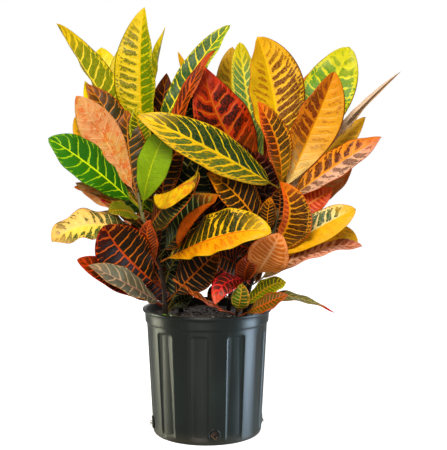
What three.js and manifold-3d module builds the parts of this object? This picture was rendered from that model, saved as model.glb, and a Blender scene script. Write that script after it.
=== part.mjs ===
// Potted croton: a leafy house plant with several stems in a ten inch nursery pot.
// Millimetres, +Z up. The origin is the middle of the pot's flat underside.
// The plant's best side faces -Y.
import * as THREE from "three";
import { mergeVertices } from "three/addons/utils/BufferGeometryUtils.js";
import Module from "manifold-3d";

const wasm = await Module();
wasm.setup();

// ---- Driving dimensions ----

const POT_HEIGHT = 250;
const RIM_RADIUS = 127;
const FOOT_RADIUS = 103;
const POT_WALL = 2.2;
const POT_FLOOR = 3;
const PANEL_COUNT = 20;
const PANEL_TURN_DEGREES = 1;
const PANEL_DEPTH = 1.3;
const PANEL_TOP = 210;
const PANEL_FOOT = 14;
const PANEL_STEP = 0.07;
const ROUND_STEPS = 44;
const HOLE_RADIUS = 9;
const HOLE_RING_RADIUS = 12.5;
const HOLE_RING_PROUD = 1;
const HOLE_HEIGHT = 22;
const HOLE_COUNT = 4;
const HOLE_STEPS = 20;
const HOLE_FIRST_DEGREES = -83;
const SOIL_TOP = 233;
const SOIL_CROWN = 4;
const FIT_GAP = 0.3;

const LEAF_THICKNESS = 1.2;
const PETIOLE_LENGTH = 26;
const PETIOLE_THICKNESS = 2.6;
const PETIOLE_HALF_WIDTH = 1.8;
const TIP_HALF_WIDTH = 0.8;
const FOOT_DEPTH = 0.7;
const LEAF_ACROSS = 4;
const LEAF_ALONG = 8;
const WIDEST_POWER = 1.08;
const FULLNESS = 0.85;

const STEM_SIDES = 8;
const STEM_STEPS = 10;

// ---- Stems: radius at the foot and at the tip, then the places each one passes through ----

const STEMS = {
  left_stem: [5, 3,
    [[-80, -40, 170], [-84, -42, 300], [-98, -48, 360], [-120, -48, 420], [-132, -42, 478]]],
  rear_left_stem: [5, 3,
    [[-45, 22, 170], [-62, 22, 320], [-85, 20, 430], [-110, 12, 515], [-122, 8, 562]]],
  right_stem: [5.4, 3,
    [[65, -20, 170], [82, -26, 290], [106, -30, 350], [130, -30, 410], [144, -22, 492]]],
  rear_right_stem: [5, 3, [[35, 45, 170], [60, 50, 340], [95, 50, 440], [122, 46, 512]]],
  low_shoot: [3.6, 2.4, [[48, -62, 180], [55, -66, 235], [60, -70, 268]]],
};

// ---- Leaves ----
// Name, tone, stem, height of the leaf's foot on that stem, a place half way along the midrib, the tip,
// full width, turn of the blade about its own length in degrees, and rise of each half in degrees.

const LEAVES = [
  ["leaf_gold_tall", "gold", "rear_left_stem", 545, [-129, -6, 700], [-119, -8, 832], 102, -30, 25],
  ["leaf_gold_far_left", "gold", "rear_left_stem", 535, [-226, 48, 692], [-295, 38, 806], 116, 50, 26],
  ["leaf_cream_behind", "cream", "rear_left_stem", 528, [-186, 85, 662], [-214, 105, 765], 88, 15, 12],
  ["leaf_gold_narrow", "gold", "rear_left_stem", 534, [-105, 45, 678], [-81, 48, 802], 60, -65, 20],
  ["leaf_dusk_small", "dusk", "rear_left_stem", 514, [-93, 85, 628], [-82, 112, 714], 60, 15, 15],
  ["leaf_green_top", "green", "rear_left_stem", 542, [-42, 20, 688], [46, 28, 802], 58, -10, 20],
  ["leaf_red_strip", "red", "rear_left_stem", 495, [-36, -34, 668], [17, -32, 748], 34, -15, 18],
  ["leaf_yellow_point", "gold", "rear_right_stem", 462, [-2, 128, 638], [-60, 138, 760], 40, 0, 12],
  ["leaf_crimson_big", "crimson", "rear_right_stem", 495, [28, -4, 612], [-4, -6, 720], 122, 5, 14],
  ["leaf_pale_stripe", "lime", "rear_right_stem", 502, [84, 55, 645], [66, 62, 772], 62, 10, 12],
  ["leaf_brown_gold", "gold", "rear_right_stem", 485, [58, 98, 645], [53, 122, 768], 76, 0, 10],
  ["leaf_gold_big", "gold", "right_stem", 482, [132, 6, 648], [98, 0, 777], 128, 22, 20],
  ["leaf_coral_narrow", "coral", "right_stem", 470, [135, -60, 562], [94, -78, 650], 64, 18, 20],
  ["leaf_orange_plain", "orange", "right_stem", 466, [204, -30, 602], [243, -42, 708], 98, 28, 22],
  ["leaf_lime_curl", "lime", "rear_right_stem", 492, [222, 72, 636], [286, 72, 764], 108, 0, 12],
  ["leaf_dry_curl", "rosy", "right_stem", 458, [266, 22, 613], [383, 28, 713], 36, 70, 15],
  ["leaf_gold_right", "gold", "rear_right_stem", 465, [232, 58, 550], [320, 65, 624], 74, -10, 12],
  ["leaf_blotched_right", "coral", "right_stem", 450, [236, -58, 524], [330, -68, 584], 72, -15, 16],
  ["leaf_rosy_back", "rosy", "right_stem", 432, [216, -8, 478], [282, -14, 536], 62, 168, 10],
  ["leaf_crimson_fold", "crimson", "right_stem", 355, [152, -92, 430], [135, -108, 502], 60, 22, 24],
  ["leaf_gold_low_right", "lime", "right_stem", 340, [208, -70, 409], [280, -85, 449], 66, 0, 12],
  ["leaf_coral_arch", "coral", "right_stem", 296, [196, -58, 362], [296, -68, 376], 56, -25, 20],
  ["leaf_green_big", "green", "left_stem", 448, [-218, -85, 530], [-291, -112, 582], 92, 10, 12],
  ["leaf_rosy_underside", "rosy", "left_stem", 462, [-187, -54, 570], [-245, -64, 661], 74, 170, 10],
  ["leaf_bronze_left", "dusk", "left_stem", 472, [-176, -24, 600], [-231, -20, 686], 74, 8, 10],
  ["leaf_green_plain", "green", "left_stem", 440, [-104, -90, 528], [-68, -98, 606], 70, 175, 12],
  ["leaf_olive_low", "dusk", "left_stem", 420, [-148, -98, 446], [-180, -135, 448], 52, 10, 14],
  ["leaf_orange_left", "orange", "left_stem", 410, [-187, -62, 469], [-250, -75, 491], 40, 30, 16],
  ["leaf_green_cross", "green", "right_stem", 484, [-2, -112, 566], [-127, -126, 625], 84, -10, 15],
  ["leaf_copper_vein", "bronze", "right_stem", 385, [62, -74, 468], [0, -82, 518], 88, 12, 16],
  ["leaf_folded_orange", "orange", "left_stem", 405, [-72, -126, 466], [-14, -150, 536], 100, -15, 22],
  ["leaf_dark_curl", "green", "left_stem", 352, [-36, -92, 425], [21, -105, 478], 92, -20, 20],
  ["leaf_orange_front", "orange", "left_stem", 344, [34, -142, 406], [116, -175, 413], 92, -5, 20],
  ["leaf_rust_upright", "coral", "right_stem", 312, [116, -110, 366], [134, -130, 408], 80, 43, 12],
  ["leaf_dark_left", "dusk", "left_stem", 292, [-150, -98, 360], [-190, -122, 422], 106, -15, 14],
  ["leaf_grey_satin", "dusk", "left_stem", 260, [-156, -136, 320], [-214, -168, 354], 64, 15, 20],
  ["leaf_red_vein_low", "dusk", "left_stem", 256, [-176, -78, 320], [-243, -100, 356], 64, 12, 16],
  ["leaf_gold_curl_left", "lime", "left_stem", 385, [-208, -84, 420], [-289, -100, 390], 76, 5, 14],
  ["leaf_copper_low", "bronze", "left_stem", 266, [-18, -66, 330], [24, -72, 370], 82, 5, 14],
  ["leaf_brown_edge", "bronze", "low_shoot", 246, [-12, -122, 284], [-63, -138, 326], 38, 45, 18],
  ["leaf_dark_foot", "dusk", "left_stem", 250, [-54, -24, 298], [-44, -14, 352], 72, -10, 12],
  ["leaf_red_hanging", "red", "right_stem", 304, [36, -102, 312], [15, -122, 274], 42, 0, 14],
  ["leaf_green_low", "green", "low_shoot", 252, [62, -98, 278], [66, -104, 311], 36, 0, 10],
  ["leaf_lime_low", "lime", "low_shoot", 250, [112, -60, 294], [152, -54, 306], 46, -20, 10],
  ["leaf_red_low", "red", "low_shoot", 240, [110, -90, 270], [152, -100, 290], 38, -15, 10],
  ["leaf_drooping", "red", "right_stem", 262, [160, -56, 278], [243, -76, 250], 30, -25, 12],
  ["leaf_back_high", "green", "rear_left_stem", 494, [-145, 115, 595], [-205, 195, 640], 92, 10, 14],
  ["leaf_back_middle", "gold", "rear_left_stem", 452, [-88, 128, 540], [-75, 238, 568], 88, -10, 14],
  ["leaf_back_left", "green", "rear_left_stem", 408, [-155, 90, 462], [-235, 170, 470], 84, 0, 14],
  ["leaf_back_right_high", "green", "rear_right_stem", 505, [138, 140, 598], [160, 232, 648], 94, -10, 14],
  ["leaf_back_right", "orange", "rear_right_stem", 448, [180, 125, 512], [252, 205, 535], 90, 0, 14],
  ["leaf_back_centre", "crimson", "rear_right_stem", 420, [55, 145, 478], [30, 258, 492], 86, 10, 14],
  ["leaf_back_low", "dusk", "rear_left_stem", 350, [-72, 112, 396], [-90, 218, 392], 76, 0, 14],
];

// Base colour and roughness of each tone; the veins and blotches aren't modelled here.
const TONES = {
  gold: [0xd9a520, 0.42],
  cream: [0xe3cf74, 0.45],
  lime: [0xa9b53c, 0.42],
  green: [0x2f5a22, 0.38],
  orange: [0xd5742a, 0.42],
  coral: [0xb9482e, 0.42],
  crimson: [0x8f1f1c, 0.4],
  red: [0xb3261f, 0.4],
  rosy: [0xb98a80, 0.5],
  bronze: [0x6b3a20, 0.42],
  dusk: [0x2a1f1c, 0.4],
};

// ---- Materials ----

function matte(color, roughness) {
  return new THREE.MeshStandardMaterial({ color, roughness, metalness: 0 });
}

const potPlastic = matte(0x23262a, 0.4);
const pottingSoil = matte(0x1c1410, 0.95);
const stemBark = matte(0x7a6a52, 0.75);

// ---- Joining and cutting ----

// The geometry's positions alone, with shared vertices merged, so that it is one closed body.
function closed(geometry) {
  const bare = geometry.clone();
  bare.deleteAttribute("normal");
  bare.deleteAttribute("uv");
  return mergeVertices(bare, 1e-4);
}

function toSolid(geometry) {
  const body = closed(geometry);
  return new wasm.Manifold(
    new wasm.Mesh({
      numProp: 3,
      vertProperties: new Float32Array(body.attributes.position.array),
      triVerts: new Uint32Array(body.index.array),
    }),
  );
}

function toGeometry(solid) {
  const { vertProperties, triVerts } = solid.getMesh();
  const geometry = new THREE.BufferGeometry();
  geometry.setAttribute("position", new THREE.BufferAttribute(vertProperties, 3));
  geometry.setIndex(new THREE.BufferAttribute(triVerts, 1));
  geometry.computeVertexNormals();
  return geometry;
}

function named(name, geometry, material) {
  const mesh = new THREE.Mesh(geometry, material);
  mesh.name = name;
  return mesh;
}

// A LatheGeometry turns about Y; this stands it on +Z.
function turned(profile, segments) {
  const points = profile.map(([radius, height]) => new THREE.Vector2(radius, height));
  return new THREE.LatheGeometry(points, segments).rotateX(Math.PI / 2);
}

// ---- Pot ----

// Radius of the pot's tapering side under the panels' tops.
function sideRadius(height) {
  const heelRadius = FOOT_RADIUS + 5;
  const beltRadius = RIM_RADIUS - 9;
  return heelRadius + ((beltRadius - heelRadius) * (height - PANEL_FOOT)) / (PANEL_TOP - PANEL_FOOT);
}

// Every second panel of the side stands back, with steep flanks between the panels.
// Each panel has four columns of points, at these fractions of its width.
function pressPanels(geometry) {
  const position = geometry.attributes.position;
  const panelAngle = (2 * Math.PI) / PANEL_COUNT;
  const turn = THREE.MathUtils.degToRad(PANEL_TURN_DEGREES);
  const stops = [PANEL_STEP, 0.35, 0.65, 1 - PANEL_STEP];
  for (let i = 0; i < position.count; i += 1) {
    const radius = Math.hypot(position.getX(i), position.getY(i));
    const height = position.getZ(i);
    if (radius < 1) continue;
    const angle = Math.atan2(position.getY(i), position.getX(i));
    const column = Math.round((angle / panelAngle) * stops.length) + PANEL_COUNT * stops.length;
    const panel = Math.floor(column / stops.length);
    const newAngle = (panel + stops[column % stops.length]) * panelAngle + turn;
    const recessed = panel % 2 === 0 && height > PANEL_FOOT - 1 && height < PANEL_TOP - 5;
    const newRadius = recessed ? radius - PANEL_DEPTH : radius;
    position.setXY(i, newRadius * Math.cos(newAngle), newRadius * Math.sin(newAngle));
  }
  return geometry;
}

function potOuter() {
  const profile = [
    [0, 0],
    [FOOT_RADIUS, 0],
    [FOOT_RADIUS + 3.5, 3],
    [FOOT_RADIUS + 5, 9],
    [sideRadius(PANEL_FOOT), PANEL_FOOT],
    [sideRadius(PANEL_TOP - 6), PANEL_TOP - 6],
    [sideRadius(PANEL_TOP), PANEL_TOP],
    [RIM_RADIUS - 8, 225],
    [RIM_RADIUS - 5.5, 227],
    [RIM_RADIUS - 4.5, 243],
    [RIM_RADIUS - 0.8, 244.5],
    [RIM_RADIUS, 247],
    [RIM_RADIUS - 1, 249.6],
    [RIM_RADIUS - 3, POT_HEIGHT],
    [0, POT_HEIGHT],
  ];
  return pressPanels(turned(profile, PANEL_COUNT * 4));
}

// The hollow is a plain taper, so the wall is thinner behind each recessed panel.
function hollowRadius(height) {
  return sideRadius(height) - POT_WALL - PANEL_DEPTH;
}

function potHollow() {
  const profile = [
    [0, POT_FLOOR],
    [hollowRadius(POT_FLOOR) - 3, POT_FLOOR],
    [hollowRadius(12), 12],
    [hollowRadius(PANEL_TOP), PANEL_TOP],
    [RIM_RADIUS - 9, 228],
    [RIM_RADIUS - 6, POT_HEIGHT + 1],
    [0, POT_HEIGHT + 1],
  ];
  return turned(profile, ROUND_STEPS);
}

// A peg that lies along a radius of the pot, from inside the wall to a given distance out.
function radialPeg(radius, from, to, degrees) {
  const peg = new THREE.CylinderGeometry(radius, radius, to - from, HOLE_STEPS);
  peg.rotateZ(-Math.PI / 2);
  peg.translate((from + to) / 2, 0, HOLE_HEIGHT);
  return peg.rotateZ(THREE.MathUtils.degToRad(degrees));
}

function makePot() {
  const wallAtHole = sideRadius(HOLE_HEIGHT);
  const holeAngles = Array.from(
    { length: HOLE_COUNT }, (_, i) => HOLE_FIRST_DEGREES + (i * 360) / HOLE_COUNT);
  let pot = toSolid(potOuter());
  for (const angle of holeAngles) {
    const ring = radialPeg(HOLE_RING_RADIUS, wallAtHole - 12, wallAtHole + HOLE_RING_PROUD, angle);
    pot = pot.add(toSolid(ring));
  }
  pot = pot.subtract(toSolid(potHollow()));
  for (const angle of holeAngles) {
    pot = pot.subtract(toSolid(radialPeg(HOLE_RADIUS, wallAtHole - 20, wallAtHole + 10, angle)));
  }
  return named("nursery_pot", toGeometry(pot), potPlastic);
}

// ---- Stems and soil ----

function stemCurve(route) {
  return new THREE.CatmullRomCurve3(route.map((place) => new THREE.Vector3(...place)));
}

// A round stem that tapers from foot to tip along its route; grow makes it fatter all over.
function stemGeometry([footRadius, tipRadius, route], grow = 0) {
  const curve = stemCurve(route);
  const bar = new THREE.CylinderGeometry(tipRadius + grow, footRadius + grow, 1, STEM_SIDES, STEM_STEPS);
  bar.rotateX(Math.PI / 2);
  const position = bar.attributes.position;
  for (let i = 0; i < position.count; i += 1) {
    const centre = curve.getPoint(THREE.MathUtils.clamp(position.getZ(i) + 0.5, 0, 1));
    const end = (Math.abs(position.getZ(i)) > 0.49 ? Math.sign(position.getZ(i)) : 0) * grow;
    position.setXYZ(i, centre.x + position.getX(i), centre.y + position.getY(i), centre.z + end);
  }
  return closed(bar);
}

function makeStem(name) {
  return named(name, stemGeometry(STEMS[name]), stemBark);
}

// The soil fills the pot to just under the rim, crowned a little in the middle, with a hole for each stem.
function makeSoil() {
  const profile = [
    [0, POT_FLOOR + FIT_GAP],
    [hollowRadius(POT_FLOOR) - 3 - FIT_GAP, POT_FLOOR + FIT_GAP],
    [hollowRadius(12) - FIT_GAP, 12],
    [hollowRadius(PANEL_TOP) - FIT_GAP, PANEL_TOP],
    [RIM_RADIUS - 9 - FIT_GAP, 228],
    [RIM_RADIUS - 14, SOIL_TOP - 3],
    [RIM_RADIUS * 0.55, SOIL_TOP + SOIL_CROWN * 0.7],
    [0, SOIL_TOP + SOIL_CROWN],
  ];
  let soil = toSolid(turned(profile, ROUND_STEPS));
  for (const stem of Object.values(STEMS)) {
    soil = soil.subtract(toSolid(stemGeometry(stem, FIT_GAP)));
  }
  return named("potting_soil", toGeometry(soil), pottingSoil);
}

// ---- Leaves ----

// The place where a stem passes a given height, and its radius there.
function stemAt(name, height) {
  const [footRadius, tipRadius, route] = STEMS[name];
  const curve = stemCurve(route);
  let low = 0;
  let high = 1;
  for (let i = 0; i < 24; i += 1) {
    const middle = (low + high) / 2;
    if (curve.getPoint(middle).z < height) low = middle;
    else high = middle;
  }
  return { centre: curve.getPoint(low), radius: THREE.MathUtils.lerp(footRadius, tipRadius, low) };
}

// Half width of the blade at u, from 0 at its foot to 1 at its tip: a long oval, widest past the middle.
function bladeHalfWidth(u, width) {
  const swell = Math.sin(Math.PI * u ** WIDEST_POWER) ** FULLNESS;
  return Math.max((width / 2) * (swell || 0), TIP_HALF_WIDTH);
}

// The midrib as a curve from just under the stem's bark through the half-way place to the tip.
function midribCurve(stem, at, middle, tip) {
  const { centre, radius } = stemAt(stem, at);
  const outward = new THREE.Vector3().subVectors(middle, centre).setZ(0).normalize();
  const foot = centre.clone().addScaledVector(outward, radius * FOOT_DEPTH);
  const bend = middle.clone().multiplyScalar(2).sub(foot.clone().add(tip).multiplyScalar(0.5));
  return new THREE.QuadraticBezierCurve3(foot, bend, tip);
}

// The way a leaf's upper side looks when its turn is 0: up and to the plant's front, square to
// the leaf's length.
function restingFace(along) {
  const face = new THREE.Vector3(0, -1, 0.7);
  return face.addScaledVector(along, -face.dot(along)).normalize();
}

function leafGeometry(stem, at, middle, tip, width, turn, rise) {
  const midrib = midribCurve(stem, at, middle, tip);
  const length = midrib.getLength();
  const petiole = Math.min(PETIOLE_LENGTH / length, 0.2);
  const chord = new THREE.Vector3().subVectors(tip, midrib.v0).normalize();
  const face = restingFace(chord).applyAxisAngle(chord, THREE.MathUtils.degToRad(turn));
  const lift = THREE.MathUtils.degToRad(rise);

  const blade = new THREE.BoxGeometry(2, 1, 1, LEAF_ACROSS, 1, LEAF_ALONG);
  const position = blade.attributes.position;
  for (let i = 0; i < position.count; i += 1) {
    const across = position.getX(i);
    const step = Math.round((position.getZ(i) + 0.5) * LEAF_ALONG);
    const u = Math.max(step - 1, 0) / (LEAF_ALONG - 1);
    const s = step === 0 ? 0 : petiole + (1 - petiole) * u;
    const onPetiole = step <= 1;
    const halfWidth = onPetiole ? PETIOLE_HALF_WIDTH : bladeHalfWidth(u, width);
    const thickness = onPetiole ? PETIOLE_THICKNESS : LEAF_THICKNESS;
    const along = midrib.getTangentAt(s);
    const up = face.clone().addScaledVector(along, -face.dot(along)).normalize();
    const side = new THREE.Vector3().crossVectors(up, along);
    const place = midrib.getPointAt(s);
    place.addScaledVector(side, across * halfWidth * Math.cos(lift));
    place.addScaledVector(up, Math.abs(across) * halfWidth * Math.sin(lift) + position.getY(i) * thickness);
    position.setXYZ(i, place.x, place.y, place.z);
  }
  return blade;
}

// The petiole's foot is cut hollow to seat round the stem's bark.
function makeLeaf([name, tone, stem, at, middle, tip, width, turn, rise]) {
  const places = [new THREE.Vector3(...middle), new THREE.Vector3(...tip)];
  const whole = toSolid(leafGeometry(stem, at, ...places, width, turn, rise));
  const seated = whole.subtract(toSolid(stemGeometry(STEMS[stem], FIT_GAP)));
  return named(name, toGeometry(seated), matte(...TONES[tone]));
}

// ---- The whole plant ----

const croton = new THREE.Group();
croton.name = "potted_croton";
croton.add(makePot());
croton.add(makeSoil());
for (const name of Object.keys(STEMS)) {
  croton.add(makeStem(name));
}
for (const leaf of LEAVES) {
  croton.add(makeLeaf(leaf));
}

export default croton;
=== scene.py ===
"""A potted croton: five woody stems with broad patterned leaves in a dark nursery pot.

Sizes in the tables are millimetres, and everything is built in metres, +Z up, at the origin.
The plant's best side faces -Y.
"""

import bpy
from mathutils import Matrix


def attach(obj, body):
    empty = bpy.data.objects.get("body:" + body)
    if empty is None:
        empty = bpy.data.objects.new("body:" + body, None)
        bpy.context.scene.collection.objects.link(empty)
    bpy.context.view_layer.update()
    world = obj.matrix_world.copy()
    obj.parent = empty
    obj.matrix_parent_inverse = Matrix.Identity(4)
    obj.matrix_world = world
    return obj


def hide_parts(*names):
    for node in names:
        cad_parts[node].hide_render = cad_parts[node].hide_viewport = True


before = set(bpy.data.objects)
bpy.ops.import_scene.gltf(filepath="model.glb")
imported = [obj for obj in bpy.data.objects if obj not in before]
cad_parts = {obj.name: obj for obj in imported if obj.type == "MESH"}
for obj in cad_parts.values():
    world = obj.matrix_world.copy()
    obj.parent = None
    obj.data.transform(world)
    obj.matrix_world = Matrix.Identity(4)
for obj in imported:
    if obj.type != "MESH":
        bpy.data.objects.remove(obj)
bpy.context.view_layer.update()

import math
import random
from collections import namedtuple

import bmesh
import bpy
from mathutils import Matrix, Vector, noise

MM = 0.001

# Points closer than this are one point, in metres: on a spun outline, and at a pointed end.
SEAM = 1e-6
POINTED_END = 2e-6

# ---- Stems ----
# Radius at foot and tip, number of old leaf scars, and the points that the stem grows through.

Stem = namedtuple("Stem", "foot_radius tip_radius scars points")
STEMS = {
    "left_stem": Stem(5, 3, 26, (
        (-80, -40, 170), (-84, -42, 300), (-98, -48, 360), (-120, -48, 420), (-132, -42, 478))),
    "rear_left_stem": Stem(5, 3, 26, (
        (-45, 22, 170), (-62, 22, 320), (-85, 20, 430), (-110, 12, 515), (-122, 8, 562))),
    "right_stem": Stem(5.4, 3, 26, (
        (65, -20, 170), (82, -26, 290), (106, -30, 350), (130, -30, 410), (144, -22, 492))),
    "rear_right_stem": Stem(5, 3, 26, ((35, 45, 170), (60, 50, 340), (95, 50, 440), (122, 46, 512))),
    "low_shoot": Stem(3.6, 2.4, 8, ((48, -62, 180), (55, -66, 235), (60, -70, 268))),
}

# ---- Leaves ----
# foot is the height where the leaf leaves its stem, middle and tip are places on its rib, width is
# the full width, turn is about the leaf's own length, and rise is that of each half. Both are in
# degrees. look and shape are names in the tables further down.

Leaf = namedtuple("Leaf", "name slot stem foot middle tip width turn rise look shape")
LEAVES = (
    Leaf("leaf_gold_tall", "gold", "rear_left_stem", 545, (-129, -6, 700), (-119, -8, 832),
         102, -30, 25, "gold_tall", "upright"),
    Leaf("leaf_gold_far_left", "gold", "rear_left_stem", 535, (-226, 48, 692), (-295, 38, 806),
         116, 50, 26, "gold_net", "upright"),
    Leaf("leaf_cream_behind", "cream", "rear_left_stem", 528, (-186, 85, 662), (-214, 105, 765),
         88, 15, 12, "cream", "upright"),
    Leaf("leaf_gold_narrow", "gold", "rear_left_stem", 534, (-105, 45, 678), (-81, 48, 802),
         60, -65, 20, "gold_green", "upright"),
    Leaf("leaf_dusk_small", "dusk", "rear_left_stem", 514, (-93, 85, 628), (-82, 112, 714),
         60, 15, 15, "rust_dark", "plain"),
    Leaf("leaf_green_top", "green", "rear_left_stem", 542, (-42, 20, 688), (46, 28, 802),
         58, -10, 20, "green_yellow", "upright"),
    Leaf("leaf_red_strip", "red", "rear_left_stem", 495, (-36, -34, 668), (17, -32, 748),
         34, -15, 18, "red_net", "plain"),
    Leaf("leaf_yellow_point", "gold", "rear_right_stem", 462, (-2, 128, 638), (-60, 138, 760),
         40, 0, 12, "gold_plain", "plain"),
    Leaf("leaf_crimson_big", "crimson", "rear_right_stem", 495, (28, -4, 612), (-4, -6, 720),
         122, 5, 14, "crimson", "plain"),
    Leaf("leaf_pale_stripe", "lime", "rear_right_stem", 502, (84, 55, 645), (66, 62, 772),
         62, 10, 12, "pale_stripe", "plain"),
    Leaf("leaf_brown_gold", "gold", "rear_right_stem", 485, (58, 98, 645), (53, 122, 768),
         76, 0, 10, "brown_gold", "plain"),
    Leaf("leaf_gold_big", "gold", "right_stem", 482, (132, 6, 648), (98, 0, 777),
         128, 22, 20, "gold_big", "upright"),
    Leaf("leaf_coral_narrow", "coral", "right_stem", 470, (135, -60, 562), (94, -78, 650),
         64, 18, 20, "coral_net", "plain"),
    Leaf("leaf_orange_plain", "orange", "right_stem", 466, (204, -30, 602), (243, -42, 708),
         98, 28, 22, "orange_plain", "upright"),
    Leaf("leaf_lime_curl", "lime", "rear_right_stem", 492, (222, 72, 636), (286, 72, 764),
         108, 0, 12, "lime", "wavy"),
    Leaf("leaf_dry_curl", "rosy", "right_stem", 458, (266, 22, 613), (383, 28, 713),
         36, 70, 15, "dry", "rolled"),
    Leaf("leaf_gold_right", "gold", "rear_right_stem", 465, (232, 58, 550), (320, 65, 624),
         74, -10, 12, "gold_plain", "plain"),
    Leaf("leaf_blotched_right", "coral", "right_stem", 450, (236, -58, 524), (330, -68, 584),
         72, -15, 16, "blotched", "plain"),
    Leaf("leaf_rosy_back", "rosy", "right_stem", 432, (216, -8, 478), (282, -14, 536),
         62, 168, 10, "rosy", "plain"),
    Leaf("leaf_crimson_fold", "crimson", "right_stem", 355, (152, -92, 430), (135, -108, 502),
         60, 22, 24, "crimson_fold", "plain"),
    Leaf("leaf_gold_low_right", "lime", "right_stem", 340, (208, -70, 409), (280, -85, 449),
         66, 0, 12, "gold_striped", "plain"),
    Leaf("leaf_coral_arch", "coral", "right_stem", 296, (196, -58, 362), (296, -68, 376),
         56, -25, 20, "coral_arch", "plain"),
    Leaf("leaf_green_big", "green", "left_stem", 448, (-218, -85, 530), (-291, -112, 582),
         92, 10, 12, "green_bright", "plain"),
    Leaf("leaf_rosy_underside", "rosy", "left_stem", 462, (-187, -54, 570), (-245, -64, 661),
         74, 170, 10, "rosy", "plain"),
    Leaf("leaf_bronze_left", "dusk", "left_stem", 472, (-176, -24, 600), (-231, -20, 686),
         74, 8, 10, "bronze_stripe", "plain"),
    Leaf("leaf_green_plain", "green", "left_stem", 440, (-104, -90, 528), (-68, -98, 606),
         70, 175, 12, "green_plain", "plain"),
    Leaf("leaf_olive_low", "dusk", "left_stem", 420, (-148, -98, 446), (-180, -135, 448),
         52, 10, 14, "olive", "plain"),
    Leaf("leaf_orange_left", "orange", "left_stem", 410, (-187, -62, 469), (-250, -75, 491),
         40, 30, 16, "orange_green", "plain"),
    Leaf("leaf_green_cross", "green", "right_stem", 484, (-2, -112, 566), (-127, -126, 625),
         84, -10, 15, "green_cross", "plain"),
    Leaf("leaf_copper_vein", "bronze", "right_stem", 385, (62, -74, 468), (0, -82, 518),
         88, 12, 16, "copper_vein", "plain"),
    Leaf("leaf_folded_orange", "orange", "left_stem", 405, (-72, -126, 466), (-14, -150, 536),
         100, -15, 6, "folded", "folded"),
    Leaf("leaf_dark_curl", "green", "left_stem", 352, (-36, -92, 425), (21, -105, 478),
         92, -20, 20, "dark_curl", "folded"),
    Leaf("leaf_orange_front", "orange", "left_stem", 344, (34, -142, 406), (116, -175, 413),
         92, -5, 20, "orange_front", "wavy"),
    Leaf("leaf_rust_upright", "coral", "right_stem", 312, (116, -110, 366), (134, -130, 408),
         80, 43, 12, "rust", "plain"),
    Leaf("leaf_dark_left", "dusk", "left_stem", 292, (-150, -98, 360), (-190, -122, 422),
         106, -15, 14, "dark_red_vein", "plain"),
    Leaf("leaf_grey_satin", "dusk", "left_stem", 260, (-156, -136, 320), (-214, -168, 354),
         64, 15, 20, "grey_satin", "plain"),
    Leaf("leaf_red_vein_low", "dusk", "left_stem", 256, (-176, -78, 320), (-243, -100, 356),
         64, 12, 16, "bright_red_vein", "plain"),
    Leaf("leaf_gold_curl_left", "lime", "left_stem", 385, (-208, -84, 420), (-289, -100, 390),
         76, 5, 14, "gold_blotch", "ruffled"),
    Leaf("leaf_copper_low", "bronze", "left_stem", 266, (-18, -66, 330), (24, -72, 370),
         82, 5, 14, "copper_dark_and_shade", "plain"),
    Leaf("leaf_brown_edge", "bronze", "low_shoot", 246, (-12, -122, 284), (-63, -138, 326),
         38, 45, 18, "brown_edge", "plain"),
    Leaf("leaf_dark_foot", "dusk", "left_stem", 250, (-54, -24, 298), (-44, -14, 352),
         72, -10, 12, "dark_green_and_shade", "plain"),
    Leaf("leaf_red_hanging", "red", "right_stem", 304, (36, -102, 312), (15, -122, 274),
         42, 0, 14, "bright_red", "plain"),
    Leaf("leaf_green_low", "green", "low_shoot", 252, (62, -98, 278), (66, -104, 311),
         36, 0, 10, "green_orange", "plain"),
    Leaf("leaf_lime_low", "lime", "low_shoot", 250, (112, -60, 294), (152, -54, 306),
         46, -20, 10, "lime_dark", "plain"),
    Leaf("leaf_red_low", "red", "low_shoot", 240, (110, -90, 270), (152, -100, 290),
         38, -15, 10, "red_green", "plain"),
    Leaf("leaf_drooping", "red", "right_stem", 262, (160, -56, 278), (243, -76, 250),
         30, -25, 12, "grey_red", "plain"),
    Leaf("leaf_back_high", "green", "rear_left_stem", 494, (-145, 115, 595), (-205, 195, 640),
         92, 10, 14, "green_yellow", "plain"),
    Leaf("leaf_back_middle", "gold", "rear_left_stem", 452, (-88, 128, 540), (-75, 238, 568),
         88, -10, 14, "gold_big", "plain"),
    Leaf("leaf_back_left", "green", "rear_left_stem", 408, (-155, 90, 462), (-235, 170, 470),
         84, 0, 14, "green_bright", "plain"),
    Leaf("leaf_back_right_high", "green", "rear_right_stem", 505, (138, 140, 598), (160, 232, 648),
         94, -10, 14, "lime", "plain"),
    Leaf("leaf_back_right", "orange", "rear_right_stem", 448, (180, 125, 512), (252, 205, 535),
         90, 0, 14, "orange_plain", "plain"),
    Leaf("leaf_back_centre", "crimson", "rear_right_stem", 420, (55, 145, 478), (30, 258, 492),
         86, 10, 14, "crimson", "plain"),
    Leaf("leaf_back_low", "dusk", "rear_left_stem", 350, (-72, 112, 396), (-90, 218, 392),
         76, 0, 14, "dark_red_vein", "plain"),
)
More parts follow.
